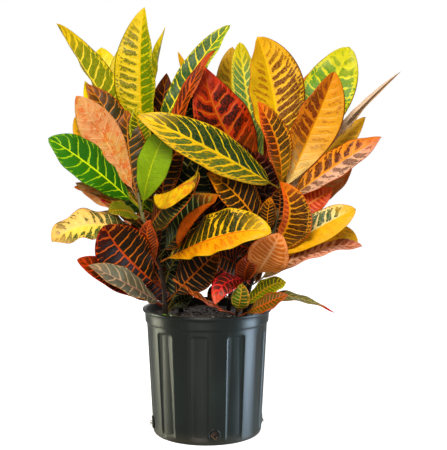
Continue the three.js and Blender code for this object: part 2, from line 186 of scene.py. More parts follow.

# Leaves that only fill the plant's inside, sides and back, on the same stems. The inner ones wear near-black
# looks: painted shade deep inside the plant.
MORE_LEAVES = (
    Leaf("inner_rust", "bronze", "rear_left_stem", 430, (-78, -30, 520), (-36, -45, 572),
         58, 10, 14, "rust_dark", "plain"),
    Leaf("inner_green_high", "green", "rear_left_stem", 445, (-40, 8, 520), (-4, 0, 590),
         70, 0, 14, "dark_green_and_shade", "plain"),
    Leaf("inner_maroon_high", "crimson", "right_stem", 440, (62, -24, 530), (-30, -40, 560),
         88, 5, 12, "maroon", "plain"),
    Leaf("inner_stem_copper", "bronze", "right_stem", 385, (116, -46, 428), (122, -52, 470),
         34, 0, 12, "copper_vein", "plain"),
    Leaf("inner_red_low", "red", "right_stem", 298, (72, -62, 325), (90, -82, 366),
         40, 0, 14, "red_net", "plain"),
    Leaf("inner_brown_low", "dusk", "right_stem", 285, (42, -50, 320), (2, -62, 352),
         58, 0, 12, "dark_red_vein", "plain"),
    Leaf("inner_small_green", "green", "rear_left_stem", 520, (-128, -24, 590), (-136, -36, 640),
         44, 0, 14, "lime_dark", "plain"),
    Leaf("left_gold_sliver", "gold", "left_stem", 452, (-212, -30, 548), (-252, -36, 622),
         58, 0, 12, "gold_plain", "plain"),
    Leaf("left_cream_low", "cream", "rear_left_stem", 498, (-196, 32, 606), (-240, 34, 694),
         62, 10, 12, "cream", "plain"),
    Leaf("left_pink_sliver", "rosy", "left_stem", 428, (-196, -76, 474), (-246, -84, 499),
         38, 175, 10, "rosy", "plain"),
    Leaf("left_grey_sliver", "dusk", "left_stem", 392, (-160, -70, 441), (-200, -80, 468),
         22, 20, 12, "grey_red", "plain"),
    Leaf("right_orange_edge", "orange", "rear_right_stem", 486, (186, 86, 630), (226, 90, 728),
         74, 5, 12, "orange_plain", "plain"),
    Leaf("right_gold_low", "gold", "right_stem", 326, (222, -44, 398), (290, -50, 382),
         46, 0, 12, "gold_plain", "plain"),
    Leaf("right_pink", "rosy", "right_stem", 424, (202, -42, 460), (240, -48, 488),
         48, 10, 12, "pink_red", "plain"),
    Leaf("inner_dark_one", "dusk", "right_stem", 405, (66, 12, 452), (-18, 6, 486),
         96, 0, 12, "maroon", "plain"),
    Leaf("inner_dark_two", "green", "rear_left_stem", 395, (-42, -2, 455), (-14, -10, 536),
         88, 5, 12, "dark_green_and_shade", "plain"),
    Leaf("inner_dark_three", "dusk", "rear_right_stem", 392, (36, 22, 402), (-22, 16, 424),
         84, 0, 12, "copper_dark_and_shade", "plain"),
    Leaf("inner_dark_four", "green", "left_stem", 300, (-48, -30, 366), (10, -52, 398),
         84, 0, 12, "dark_green_and_shade", "plain"),
    Leaf("inner_dark_five", "dusk", "right_stem", 338, (62, -6, 372), (4, -14, 352),
         76, 0, 12, "dark_red_vein", "plain"),
    Leaf("inner_dark_six", "dusk", "rear_right_stem", 330, (70, 14, 346), (102, -2, 300),
         60, 0, 12, "copper_dark_and_shade", "plain"),
    Leaf("inner_dark_seven", "green", "rear_left_stem", 330, (-52, 30, 380), (-10, 34, 448),
         78, 0, 12, "dark_green_and_shade", "plain"),
    Leaf("inner_dark_eight", "crimson", "rear_right_stem", 410, (100, 30, 470), (96, 24, 556),
         84, 0, 12, "maroon", "plain"),
    Leaf("inner_dark_nine", "dusk", "rear_left_stem", 440, (-128, 14, 500), (-168, 8, 574),
         80, 0, 12, "bronze_stripe", "plain"),
    Leaf("inner_left_stripe", "bronze", "left_stem", 440, (-148, -34, 545), (-152, -30, 636),
         70, 0, 12, "bronze_stripe", "plain"),
    Leaf("inner_right_gold", "gold", "rear_right_stem", 470, (165, 30, 545), (190, 26, 624),
         70, 0, 12, "brown_gold", "plain"),
    Leaf("inner_right_dark", "dusk", "right_stem", 400, (170, -6, 440), (222, -10, 470),
         60, 0, 12, "copper_dark_and_shade", "plain"),
    Leaf("inner_dark_ten", "crimson", "rear_right_stem", 385, (10, 34, 432), (-38, 30, 470),
         84, 0, 12, "maroon", "plain"),
    Leaf("inner_dark_eleven", "green", "rear_left_stem", 300, (-92, -4, 352), (-96, -14, 424),
         78, 0, 12, "dark_green_and_shade", "plain"),
    Leaf("inner_dark_twelve", "dusk", "rear_left_stem", 250, (-88, -6, 290), (-118, -16, 330),
         66, 0, 12, "dark_red_vein", "plain"),
    Leaf("inner_dark_thirteen", "dusk", "left_stem", 300, (-118, -30, 372), (-132, -34, 440),
         60, 0, 12, "copper_dark_and_shade", "plain"),
    Leaf("inner_dark_fourteen", "dusk", "right_stem", 330, (104, -14, 372), (84, -20, 430),
         70, 0, 12, "copper_dark_and_shade", "plain"),
    Leaf("inner_dark_fifteen", "green", "right_stem", 270, (66, -8, 300), (30, -12, 322),
         60, 0, 12, "dark_green_and_shade", "plain"),
    Leaf("inner_dark_sixteen", "dusk", "rear_right_stem", 300, (86, 12, 322), (112, 8, 350),
         50, 0, 12, "copper_dark_and_shade", "plain"),
    Leaf("inner_low_brown", "dusk", "rear_right_stem", 268, (34, 16, 292), (4, 10, 316),
         56, 0, 12, "copper_dark_and_shade", "plain"),
    Leaf("inner_top_green", "green", "rear_left_stem", 522, (-44, 14, 622), (-22, 10, 668),
         44, 0, 12, "dark_green_and_shade", "plain"),
    Leaf("inner_middle_maroon", "crimson", "rear_right_stem", 442, (34, 34, 496), (-14, 30, 534),
         70, 0, 12, "maroon", "plain"),
    Leaf("inner_right_copper", "bronze", "right_stem", 392, (140, -30, 444), (138, -36, 488),
         50, 0, 12, "copper_dark_and_shade", "plain"),
    Leaf("inner_left_copper", "dusk", "left_stem", 342, (-108, -42, 398), (-124, -46, 446),
         48, 0, 12, "copper_dark_and_shade", "plain"),
    Leaf("inner_foot_dark", "dusk", "left_stem", 246, (-50, -20, 264), (-26, -24, 276),
         30, 0, 10, "dark_green_and_shade", "plain"),
    Leaf("inner_red_stalk", "red", "left_stem", 330, (-112, -84, 392), (-104, -96, 430),
         40, 0, 14, "red_net", "plain"),
    Leaf("inner_low_dark", "dusk", "rear_right_stem", 258, (22, 14, 277), (3, 4, 262),
         34, 0, 12, "copper_dark_and_shade", "plain"),
    Leaf("inner_low_green", "green", "rear_left_stem", 262, (-30, 30, 300), (6, 34, 322),
         60, 0, 12, "dark_green_and_shade", "plain"),
    Leaf("back_top_gold", "gold", "rear_left_stem", 540, (-160, 70, 690), (-150, 96, 790),
         84, 180, 14, "gold_net", "upright"),
    Leaf("back_top_crimson", "crimson", "rear_right_stem", 508, (110, 110, 640), (120, 150, 740),
         86, 180, 14, "crimson", "upright"),
    Leaf("back_far_left", "orange", "rear_left_stem", 470, (-190, 90, 560), (-270, 120, 610),
         76, 170, 14, "orange_green", "plain"),
    Leaf("back_far_right", "green", "rear_right_stem", 470, (210, 110, 560), (290, 130, 600),
         80, 190, 14, "green_yellow", "plain"),
    Leaf("back_mid_green", "green", "rear_left_stem", 470, (-60, 120, 590), (-40, 180, 660),
         80, 180, 14, "green_cross", "plain"),
    Leaf("back_mid_red", "crimson", "rear_right_stem", 470, (80, 150, 560), (40, 220, 600),
         76, 180, 14, "red_net", "plain"),
    Leaf("back_low_left", "dusk", "rear_left_stem", 310, (-140, 80, 350), (-200, 120, 362),
         76, 180, 14, "bright_red_vein", "plain"),
    Leaf("back_low_middle", "bronze", "rear_right_stem", 330, (20, 130, 370), (-10, 200, 372),
         78, 180, 14, "copper_vein", "plain"),
    Leaf("back_low_right", "red", "rear_right_stem", 350, (130, 120, 400), (190, 170, 404),
         76, 180, 14, "crimson_fold", "plain"),
    Leaf("side_right_high", "gold", "rear_right_stem", 490, (150, 112, 606), (160, 178, 684),
         84, 90, 14, "gold_net", "upright"),
    Leaf("side_right_middle", "orange", "rear_right_stem", 450, (184, 76, 490), (194, 156, 528),
         80, 90, 14, "orange_green", "plain"),
    Leaf("side_right_low", "bronze", "rear_right_stem", 380, (165, 58, 416), (186, 140, 446),
         78, 90, 14, "copper_vein", "plain"),
    Leaf("side_left_high", "green", "rear_left_stem", 505, (-170, 112, 612), (-176, 180, 684),
         84, -90, 14, "green_yellow", "upright"),
    Leaf("side_left_middle", "gold", "rear_left_stem", 452, (-184, 60, 498), (-192, 140, 534),
         80, -90, 14, "gold_green", "plain"),
    Leaf("side_left_low", "crimson", "rear_left_stem", 390, (-158, 42, 416), (-174, 122, 448),
         78, -90, 14, "crimson_fold", "plain"),
    Leaf("back_right_low", "green", "right_stem", 320, (150, 50, 350), (215, 90, 352),
         64, 180, 14, "green_orange", "plain"),
)

# How a blade is bent across: cup of the left and right half in radians at the foot and at the tip
# (more than 0 bends the margin towards the upper face), height of the wave along the margins in
# millimetres, and number of waves.
Shape = namedtuple("Shape", "cup_foot cup_tip wave waves")
SHAPES = {
    "plain": Shape((-0.25, -0.25), (-0.2, -0.2), 2.2, 3.2),
    "upright": Shape((-0.2, -0.2), (0.1, 0.1), 2.6, 4.1),
    "wavy": Shape((-0.3, -0.35), (0.0, -0.4), 4.2, 4.6),
    "ruffled": Shape((0.2, -0.5), (0.1, -0.7), 7.0, 3.6),
    "rolled": Shape((1.3, 1.3), (1.9, 1.9), 1.2, 3.0),
    "folded": Shape((-0.1, -0.3), (0.0, -0.2), 1.6, 2.6),
}

# Leaves with one margin turned over: which half, where the crease starts and ends (share of the
# leaf's length, and millimetres out from the rib), the crease's angle in degrees and its radius.
Crease = namedtuple("Crease", "half start end degrees radius")
CREASES = {
    "leaf_folded_orange": Crease("left", (0.28, 44), (0.97, -30), 160, 2.4),
    "leaf_dark_curl": Crease("right", (0.05, 40), (1.02, 12), 122, 3.6),
}

# ---- Leaf colours ----
# left and right half, seen from above with the foot down: colour of the cells between the veins,
# colour that flushes along the veins, and how far it reaches from them (0 to 1). tip and foot: a
# tint and its strength. veins: their number on each side. sweep: how far they lean towards the tip,
# as a share of the leaf's length. broken and blotch: how patchy their colour and the whole leaf are.

Look = namedtuple("Look", "left right rib margin under under_vein tip foot veins sweep broken blotch")
LOOKS = {
    "gold_tall": Look(
        ("5c5a1c", "c0a42c", 0.54), ("52701e", "b8ac3c", 0.3), "c8a42e", "9c8c22", "b7a548", "d2bb5a",
        ("c4a430", 0.5), ("66760f", 0.5), 17, 0.05, 1.3, 0.2),
    "gold_net": Look(
        ("747624", "ccb450", 0.22), ("666e24", "ccb450", 0.2), "d0bc68", "b49c3c", "b9a452", "d8c37a",
        ("c8a044", 0.6), ("56641a", 0.4), 14, 0.13, 0.9, 0.2),
    "cream": Look(
        ("9ca23c", "d2c058", 0.5), ("949c3c", "d2c058", 0.5), "dccc72", "c2b056", "c3b877", "ddd39a",
        ("d6be5a", 0.5), ("8a9032", 0.3), 13, 0.08, 0.6, 0.3),
    "gold_green": Look(
        ("88963a", "c9bc42", 0.4), ("88963a", "c9bc42", 0.4), "d2c048", "bcaa38", "b9b45e", "d5cf84",
        ("d2b030", 0.8), ("8a9838", 0.3), 15, 0.1, 0.7, 0.1),
    "rust_dark": Look(
        ("180e0a", "a04e20", 0.2), ("14110a", "8a4a20", 0.14), "a85824", "98481e", "7a4a32", "a0694a",
        ("8e401c", 0.3), ("24170c", 0.3), 10, 0.12, 0.6, 0.3),
    "green_yellow": Look(
        ("15401a", "d2c03e", 0.16), ("587840", "c8c254", 0.24), "dcc648", "a8a638", "7f9250", "b9c27c",
        ("7c9234", 0.2), ("12361a", 0.4), 13, 0.07, 0.3, 0.0),
    "red_net": Look(
        ("3a160c", "b0421c", 0.36), ("34160c", "b84c20", 0.36), "b8541f", "b04a1e", "96563c", "b87a58",
        ("b0441c", 0.5), ("40190e", 0.3), 14, 0.14, 0.6, 0.2),
    "gold_plain": Look(
        ("a07018", "cf9826", 0.6), ("a07018", "cf9826", 0.6), "d2a02e", "bf8226", "b99650", "d2b070",
        ("d29c2a", 0.5), ("9a7a1e", 0.3), 12, 0.1, 0.9, 0.4),
    "crimson": Look(
        ("200e0a", "a0301c", 0.44), ("1e100c", "a43422", 0.44), "b45c2a", "a43c1e", "8c4a3c", "a86a50",
        ("b0301c", 0.8), ("b45624", 0.4), 9, 0.13, 1.2, 0.3),
    "pale_stripe": Look(
        ("507448", "d0c262", 0.3), ("507448", "c8ba5c", 0.28), "d4c868", "c6b04c", "aab07c", "d3d2a0",
        ("c6b040", 0.6), ("446436", 0.3), 16, 0.13, 0.4, 0.0),
    "brown_gold": Look(
        ("785816", "b48820", 0.5), ("785816", "b48820", 0.46), "c0942c", "a07822", "a08650", "bfa468",
        ("b48820", 0.4), ("6c5a14", 0.4), 15, 0.1, 0.8, 0.3),
    "gold_big": Look(
        ("a0642a", "d2aa3c", 0.72), ("5a2c12", "cc9a30", 0.36), "d8b040", "a06020", "b2924a", "cdb068",
        ("cc9430", 0.6), ("6a681c", 0.45), 18, 0.12, 1.4, 0.3),
    "coral_net": Look(
        ("3c1c10", "c25622", 0.3), ("322410", "c88434", 0.26), "d07c30", "c85228", "9c6a4c", "bb8a62",
        ("c44c24", 0.7), ("b08c38", 0.35), 13, 0.07, 0.5, 0.1),
    "orange_plain": Look(
        ("6c2c12", "c47024", 0.42), ("a8744a", "cb985a", 0.8), "d29a50", "a44a1c", "c99a50", "d8b070",
        ("bc6434", 0.5), ("d8c48c", 0.8), 13, 0.1, 1.4, 0.4),
    "lime": Look(
        ("4a7c1c", "bcb82e", 0.3), ("4a7420", "bab630", 0.26), "c8c23c", "b8a032", "a9ae4e", "cbd07a",
        ("c0b834", 0.6), ("44801e", 0.4), 14, 0.08, 0.8, 0.1),
    "dry": Look(
        ("98846c", "d4b898", 0.6), ("98846c", "d4b898", 0.6), "d4b898", "b89070", "c8b09c", "b09880",
        ("c8a07c", 0.5), ("9c9468", 0.4), 9, 0.1, 1.0, 0.5),
    "blotched": Look(
        ("40120c", "c07c44", 0.42), ("6c5044", "c4a08c", 0.42), "cc904c", "b45838", "bc9480", "7f5c4a",
        ("b85c3a", 0.6), ("885c30", 0.3), 9, 0.1, 1.4, 0.4),
    "rosy": Look(
        ("a0884c", "be8662", 0.4), ("a0884c", "be8662", 0.4), "caa074", "b85a44", "c08a68", "d4aa84",
        ("be7058", 0.5), ("ac8050", 0.3), 11, 0.12, 1.1, 0.8),
    "crimson_fold": Look(
        ("984838", "c87058", 0.55), ("34180b", "c88a42", 0.28), "d48a3c", "c46444", "9c6248", "b88460",
        ("cc6a50", 0.8), ("a4702c", 0.3), 15, 0.05, 0.6, 0.1),
    "gold_striped": Look(
        ("26401f", "dcc894", 0.38), ("b88228", "d49c34", 0.88), "d4a03a", "cc9c38", "c9a45c", "dcc08a",
        ("d09a38", 0.8), ("b48a38", 0.4), 10, 0.12, 0.8, 0.1),
    "coral_arch": Look(
        ("7c4434", "c0907c", 0.42), ("7c4434", "c0907c", 0.42), "c49c7c", "b06458", "948478", "b09884",
        ("ac6454", 0.4), ("6c7040", 0.6), 16, 0.08, 0.9, 0.4),
    "green_bright": Look(
        ("245e10", "729c22", 0.08), ("1e520e", "729c22", 0.08), "b8c830", "40780f", "658a38", "9eb458",
        ("468016", 0.3), ("1b480d", 0.6), 9, 0.13, 0.5, 0.0),
    "bronze_stripe": Look(
        ("24240e", "a8622c", 0.12), ("24240e", "a05a28", 0.12), "b07038", "b04a34", "7a5c40", "9e7e58",
        ("a05c3c", 0.4), ("1e1c0c", 0.3), 12, 0.1, 0.6, 0.1),
    "green_plain": Look(
        ("66860f", "88a01e", 0.3), ("66860f", "88a01e", 0.3), "aab232", "76920f", "6d880f", "86992a",
        ("76920f", 0.3), ("4e6c0c", 0.3), 17, 0.1, 0.3, 0.0),
    "olive": Look(
        ("485214", "767620", 0.2), ("485214", "767620", 0.2), "ba6e1a", "9e521a", "6f6c3c", "948c54",
        ("84641c", 0.4), ("40480f", 0.3), 14, 0.1, 0.4, 0.0),
    "orange_green": Look(
        ("364118", "c2641c", 0.34), ("3a461a", "c2641c", 0.34), "ca7424", "ba4e1c", "b07c62", "c09070",
        ("d46e1c", 1.0), ("4a4a1c", 0.3), 12, 0.1, 0.8, 0.3),
    "green_cross": Look(
        ("38502a", "c89c30", 0.4), ("0e2a14", "c8ac3a", 0.14), "ccaa38", "cc9a30", "7f8a50", "b0ae70",
        ("cca034", 0.5), ("0e2a10", 0.4), 11, 0.2, 0.7, 0.1),
    "copper_vein": Look(
        ("15150c", "c48048", 0.13), ("15140c", "b4703e", 0.11), "cc864c", "ac5e32", "6c5a3c", "96744c",
        ("c47c48", 0.6), ("100f08", 0.3), 11, 0.12, 0.5, 0.0),
    "folded": Look(
        ("3c180b", "a84e1e", 0.24), ("111a0d", "6a6a2c", 0.08), "b85e22", "b84e1e", "d6ae42", "c09034",
        ("b05a1c", 0.4), ("261809", 0.3), 13, 0.13, 0.6, 0.1),
    "dark_curl": Look(
        ("0e170b", "606e32", 0.08), ("0e170b", "9c521c", 0.14), "4a4c1c", "aa4a1c", "bc5a20", "903814",
        ("a8501c", 0.7), ("10160a", 0.3), 12, 0.14, 0.7, 0.1),
    "orange_front": Look(
        ("11200e", "d4aa4a", 0.2), ("c87034", "d89640", 0.7), "cc6c32", "d8ac44", "c98a3c", "dca868",
        ("dcae50", 0.7), ("11200e", 0.3), 15, 0.1, 0.8, 0.35),
    "rust": Look(
        ("b86c48", "d09470", 0.4), ("b86c48", "d09470", 0.4), "dcac84", "b8644a", "b0643a", "84381f",
        ("a86040", 0.3), ("b0683e", 0.3), 14, 0.1, 0.6, 0.2),
    "dark_red_vein": Look(
        ("0e0c08", "a83a28", 0.08), ("0e100a", "b05a32", 0.08), "a04632", "702620", "54443a", "7c5440",
        ("5e1c14", 0.3), ("10120a", 0.4), 10, 0.06, 0.2, 0.0),
    "grey_satin": Look(
        ("48463a", "96785a", 0.1), ("54503f", "9c8062", 0.1), "9c7866", "8c5632", "6c6454", "907e66",
        ("7c6450", 0.5), ("32322a", 0.3), 8, 0.13, 0.3, 0.0),
    "bright_red_vein": Look(
        ("12110a", "b8342c", 0.14), ("12110a", "b8342c", 0.14), "a84a3a", "a04436", "644838", "905a48",
        ("8c4632", 0.6), ("10120a", 0.3), 11, 0.1, 0.5, 0.0),
    "gold_blotch": Look(
        ("1c3a1c", "dcc070", 0.44), ("1c3a1c", "dab478", 0.48), "e0c47c", "d0906a", "c89e70", "d6b890",
        ("dcae74", 0.6), ("2c4a26", 0.4), 13, 0.08, 0.9, 0.9),
    # Near black between the veins: partly a dark copper leaf's own colour, partly painted shade on the leaves
    # deep inside the plant.
    "copper_dark_and_shade": Look(
        ("0c0c08", "8e4c2c", 0.05), ("0c0c08", "844628", 0.05), "925030", "70381e", "544430", "7a5e42",
        ("6e4020", 0.3), ("0c0c07", 0.3), 10, 0.1, 0.4, 0.0),
    "brown_edge": Look(
        ("2c160d", "a05a3c", 0.34), ("2c160d", "9c5438", 0.34), "a85a4c", "a0443c", "8e5836", "aa784e",
        ("a4603e", 0.5), ("6e2a28", 0.6), 11, 0.1, 0.8, 0.3),
    # Near black between the veins: partly a dark leaf's own colour, partly painted shade on the leaves deep
    # inside the plant.
    "dark_green_and_shade": Look(
        ("0a110a", "5c5820", 0.05), ("0a110a", "504c1e", 0.05), "5c5022", "282a12", "343c1e", "545830",
        ("161e0f", 0.3), ("090e08", 0.3), 9, 0.1, 0.4, 0.0),
    "bright_red": Look(
        ("24120d", "ac242a", 0.28), ("20120d", "ac242a", 0.26), "b43034", "b03a34", "a84a3c", "c46a54",
        ("cc7c6c", 0.9), ("7a1c1a", 0.3), 9, 0.12, 1.2, 0.3),
    "green_orange": Look(
        ("34541e", "bca658", 0.28), ("2c481c", "b07c40", 0.18), "b07a3a", "a05c32", "747440", "a0925a",
        ("8c7034", 0.4), ("2c4418", 0.3), 8, 0.1, 0.7, 0.2),
    "lime_dark": Look(
        ("2e4018", "c4ba4c", 0.28), ("506420", "b8a838", 0.34), "b66838", "9c8c30", "808448", "a6a668",
        ("9c8c30", 0.4), ("36461a", 0.3), 13, 0.1, 0.4, 0.0),
    "red_green": Look(
        ("443e16", "a65636", 0.28), ("443e16", "ae5636", 0.3), "ae5e44", "9c4834", "9c6450", "aa7c62",
        ("9c563c", 0.4), ("4a4a1c", 0.3), 13, 0.1, 0.4, 0.0),
    # Near black between the veins: painted shade on the leaves deep inside the plant.
    "maroon": Look(
        ("0f0807", "4c1a12", 0.16), ("0f0807", "521a12", 0.16), "68301f", "44180f", "42241c", "60382a",
        ("4a1811", 0.4), ("0c0706", 0.3), 10, 0.1, 0.6, 0.2),
    "pink_red": Look(
        ("9e3826", "c6604a", 0.5), ("9e3826", "c6604a", 0.5), "d29666", "c25040", "bf806c", "ce9a86",
        ("ce6650", 0.5), ("a86848", 0.3), 12, 0.1, 0.8, 0.3),
    "grey_red": Look(
        ("525430", "928048", 0.14), ("525430", "807040", 0.14), "b6965e", "9c3040", "827a5c", "9c9070",
        ("a62c40", 1.0), ("5a5c2c", 0.3), 12, 0.1, 0.4, 0.0),
}

# Outline of a blade where it isn't the usual one: how far towards the tip it is widest (1 is
# halfway, more is nearer the tip) and how blunt its ends are (less is blunter).
OUTLINES = {
    "leaf_gold_big": (1.45, 0.66), "leaf_orange_plain": (1.3, 0.72),
    "leaf_lime_curl": (1.5, 0.6), "leaf_gold_tall": (0.98, 0.8),
    "leaf_pale_stripe": (1.3, 0.6), "leaf_brown_gold": (1.3, 0.7),
    "leaf_green_big": (1.15, 0.66), "leaf_green_cross": (1.0, 0.72),
    "leaf_dark_left": (1.3, 0.6), "leaf_gold_curl_left": (1.2, 0.55),
    "leaf_orange_front": (1.15, 0.7), "leaf_grey_satin": (0.95, 0.66),
    "leaf_rosy_underside": (1.25, 0.75), "leaf_copper_vein": (0.95, 0.75),
    "leaf_gold_low_right": (1.4, 0.6), "leaf_rust_upright": (1.2, 0.7),
    "leaf_crimson_fold": (0.95, 0.8), "leaf_rosy_back": (1.2, 0.66),
    "leaf_blotched_right": (1.1, 0.8), "leaf_red_vein_low": (1.1, 0.66),
    "leaf_crimson_big": (0.95, 0.8), "leaf_coral_arch": (1.15, 0.55),
    "leaf_drooping": (0.62, 1.2), "leaf_lime_low": (1.3, 0.6),
    "leaf_green_top": (1.3, 0.62), "leaf_gold_far_left": (0.92, 0.72),
    "leaf_folded_orange": (1.3, 0.5), "leaf_cream_behind": (1.2, 0.6),
    "leaf_green_low": (0.9, 0.6),
}
USUAL_OUTLINE = (1.08, 0.82)

# Leaves with unlike halves: by what share the left half is wider and the right half narrower.
UNEVEN = {"leaf_crimson_fold": -0.55, "leaf_orange_front": 0.12, "leaf_green_top": -0.1}

# ---- Measures that all leaves share, in millimetres unless they are shares ----

LEAF_ACROSS = 14
LEAF_ALONG = 60
CURVE_STEPS = 80

# The stalk: its length, at most this share of the leaf, its radius, how far from the stem's centre
# it starts (share of the stem's radius), and the share of the blade over which it opens.
PETIOLE_LENGTH = 26
LONGEST_PETIOLE = 0.2
PETIOLE_RADIUS = 1.6
FOOT_IN_STEM = 0.7
OPENING = 0.05

# Half the blade's thickness, what the rib adds to it, and how far out the rib reaches (share).
BLADE_HALF = 0.25
RIB_EXTRA = 0.75
RIB_REACH = 0.07

# Side veins curve towards the tip by this power, and the left row starts this much further on.
VEIN_BEND = 1.3
VEIN_STAGGER = 0.45

# How far the blade puffs up between veins, and the height and length of its broad buckles.
QUILT_HEIGHT = 1.0
BUCKLE_HEIGHT = 3.0
BUCKLE_LENGTH = 42

# A blade half is never narrower or straighter across than this.
NARROWEST_HALF = 0.5
STRAIGHTEST_CUP = 0.01

# Upper faces look forwards and up, and twist to and fro by at most this.
UPPER_FACE = (0, -1, 0.7)
MOST_TWIST_DEGREES = 7


# ---- Stems and the curves of leaves ----


def mix(a, b, share):
    return a + (b - a) * share


def smooth(low, high, x):
    x = min(max((x - low) / (high - low), 0.0), 1.0)
    return x * x * (3 - 2 * x)


def cubic(a, b, c, d, steps, t):
    """One coordinate of a centripetal Catmull-Rom piece from b to c."""
    first = ((b - a) / steps[0] - (c - a) / (steps[0] + steps[1]) + (c - b) / steps[1]) * steps[1]
    last = ((c - b) / steps[1] - (d - b) / (steps[1] + steps[2]) + (d - c) / steps[2]) * steps[1]
    return b + first * t + (3 * (c - b) - 2 * first - last) * t * t + (2 * (b - c) + first + last) * t ** 3


def stem_place(name, t):
    """Centre of a stem at share t of its length, 0 at its foot."""
    points = [Vector(p) for p in STEMS[name].points]
    points = [points[0] * 2 - points[1], *points, points[-1] * 2 - points[-2]]
    pieces = len(points) - 3
    i = min(int(t * pieces), pieces - 1)
    a, b, c, d = points[i:i + 4]
    steps = [(q - p).length ** 0.5 for p, q in ((a, b), (b, c), (c, d))]
    return Vector([cubic(a[k], b[k], c[k], d[k], steps, t * pieces - i) for k in range(3)])


def stem_share(name, height):
    """Share of a stem's length at which it reaches that height, found by halving."""
    low, high = 0.0, 1.0
    for _ in range(30):
        middle = (low + high) / 2
        if stem_place(name, middle).z < height:
            low = middle
        else:
            high = middle
    return low


def stem_radius(name, t):
    stem = STEMS[name]
    return stem.foot_radius + (stem.tip_radius - stem.foot_radius) * t


def foot_to_tip_curve(foot, middle, tip):
    """A curve through foot, middle and tip: place and direction at a share of it, and its length."""
    bend = middle * 2 - (foot + tip) / 2

    def place_at(t):
        return foot * (1 - t) ** 2 + bend * (2 * t * (1 - t)) + tip * t * t

    places = [place_at(i / CURVE_STEPS) for i in range(CURVE_STEPS + 1)]
    reach = [0.0]
    for before, after in zip(places, places[1:]):
        reach.append(reach[-1] + (after - before).length)

    def at(share):
        goal = share * reach[-1]
        i = 1
        while i < CURVE_STEPS and reach[i] < goal:
            i += 1
        part = (goal - reach[i - 1]) / (reach[i] - reach[i - 1])
        t = (i - 1 + part) / CURVE_STEPS
        along = (bend - foot) * (1 - t) + (tip - bend) * t
        return place_at(t), along.normalized()

    return at, reach[-1]


# ---- Leaves as pieces ----


def new_object(name, bm, material, flat=False):
    """Turns a bmesh into a finished piece."""
    if not flat:
        for face in bm.faces:
            face.smooth = True
    mesh = bpy.data.meshes.new(name)
    bm.to_mesh(mesh)
    bm.free()
    mesh.materials.append(material)
    piece = bpy.data.objects.new(name, mesh)
    bpy.context.scene.collection.objects.link(piece)
    return piece


def close_seams(bm, apart=SEAM):
    """Merges points that lie together, and turns every face outwards."""
    bmesh.ops.remove_doubles(bm, verts=bm.verts, dist=apart)
    bmesh.ops.recalc_face_normals(bm, faces=bm.faces)


def half_width(blade, width, outline):
    """Half the width of a blade at a share of its length."""
    widest, bluntness = outline
    return max(width / 2 * math.sin(math.pi * min(blade, 1) ** widest) ** bluntness, NARROWEST_HALF)


def turned_over(crease, length, s, out, high):
    """Bends a point of one half of a leaf over its crease. s runs along the leaf, in millimetres."""
    a = Vector((crease.start[0] * length, crease.start[1]))
    b = Vector((crease.end[0] * length, crease.end[1]))
    over = Vector((a.y - b.y, b.x - a.x)).normalized()
    beyond = (s - a.x) * over.x + (out - a.y) * over.y
    if beyond <= 0:
        return s, out, high
    radius = crease.radius
    bend = min(beyond / radius, math.radians(crease.degrees))
    flat = beyond - bend * radius
    new_beyond = (radius - high) * math.sin(bend) + flat * math.cos(bend)
    new_high = radius - (radius - high) * math.cos(bend) + flat * math.sin(bend)
    return s + (new_beyond - beyond) * over.x, out + (new_beyond - beyond) * over.y, new_high


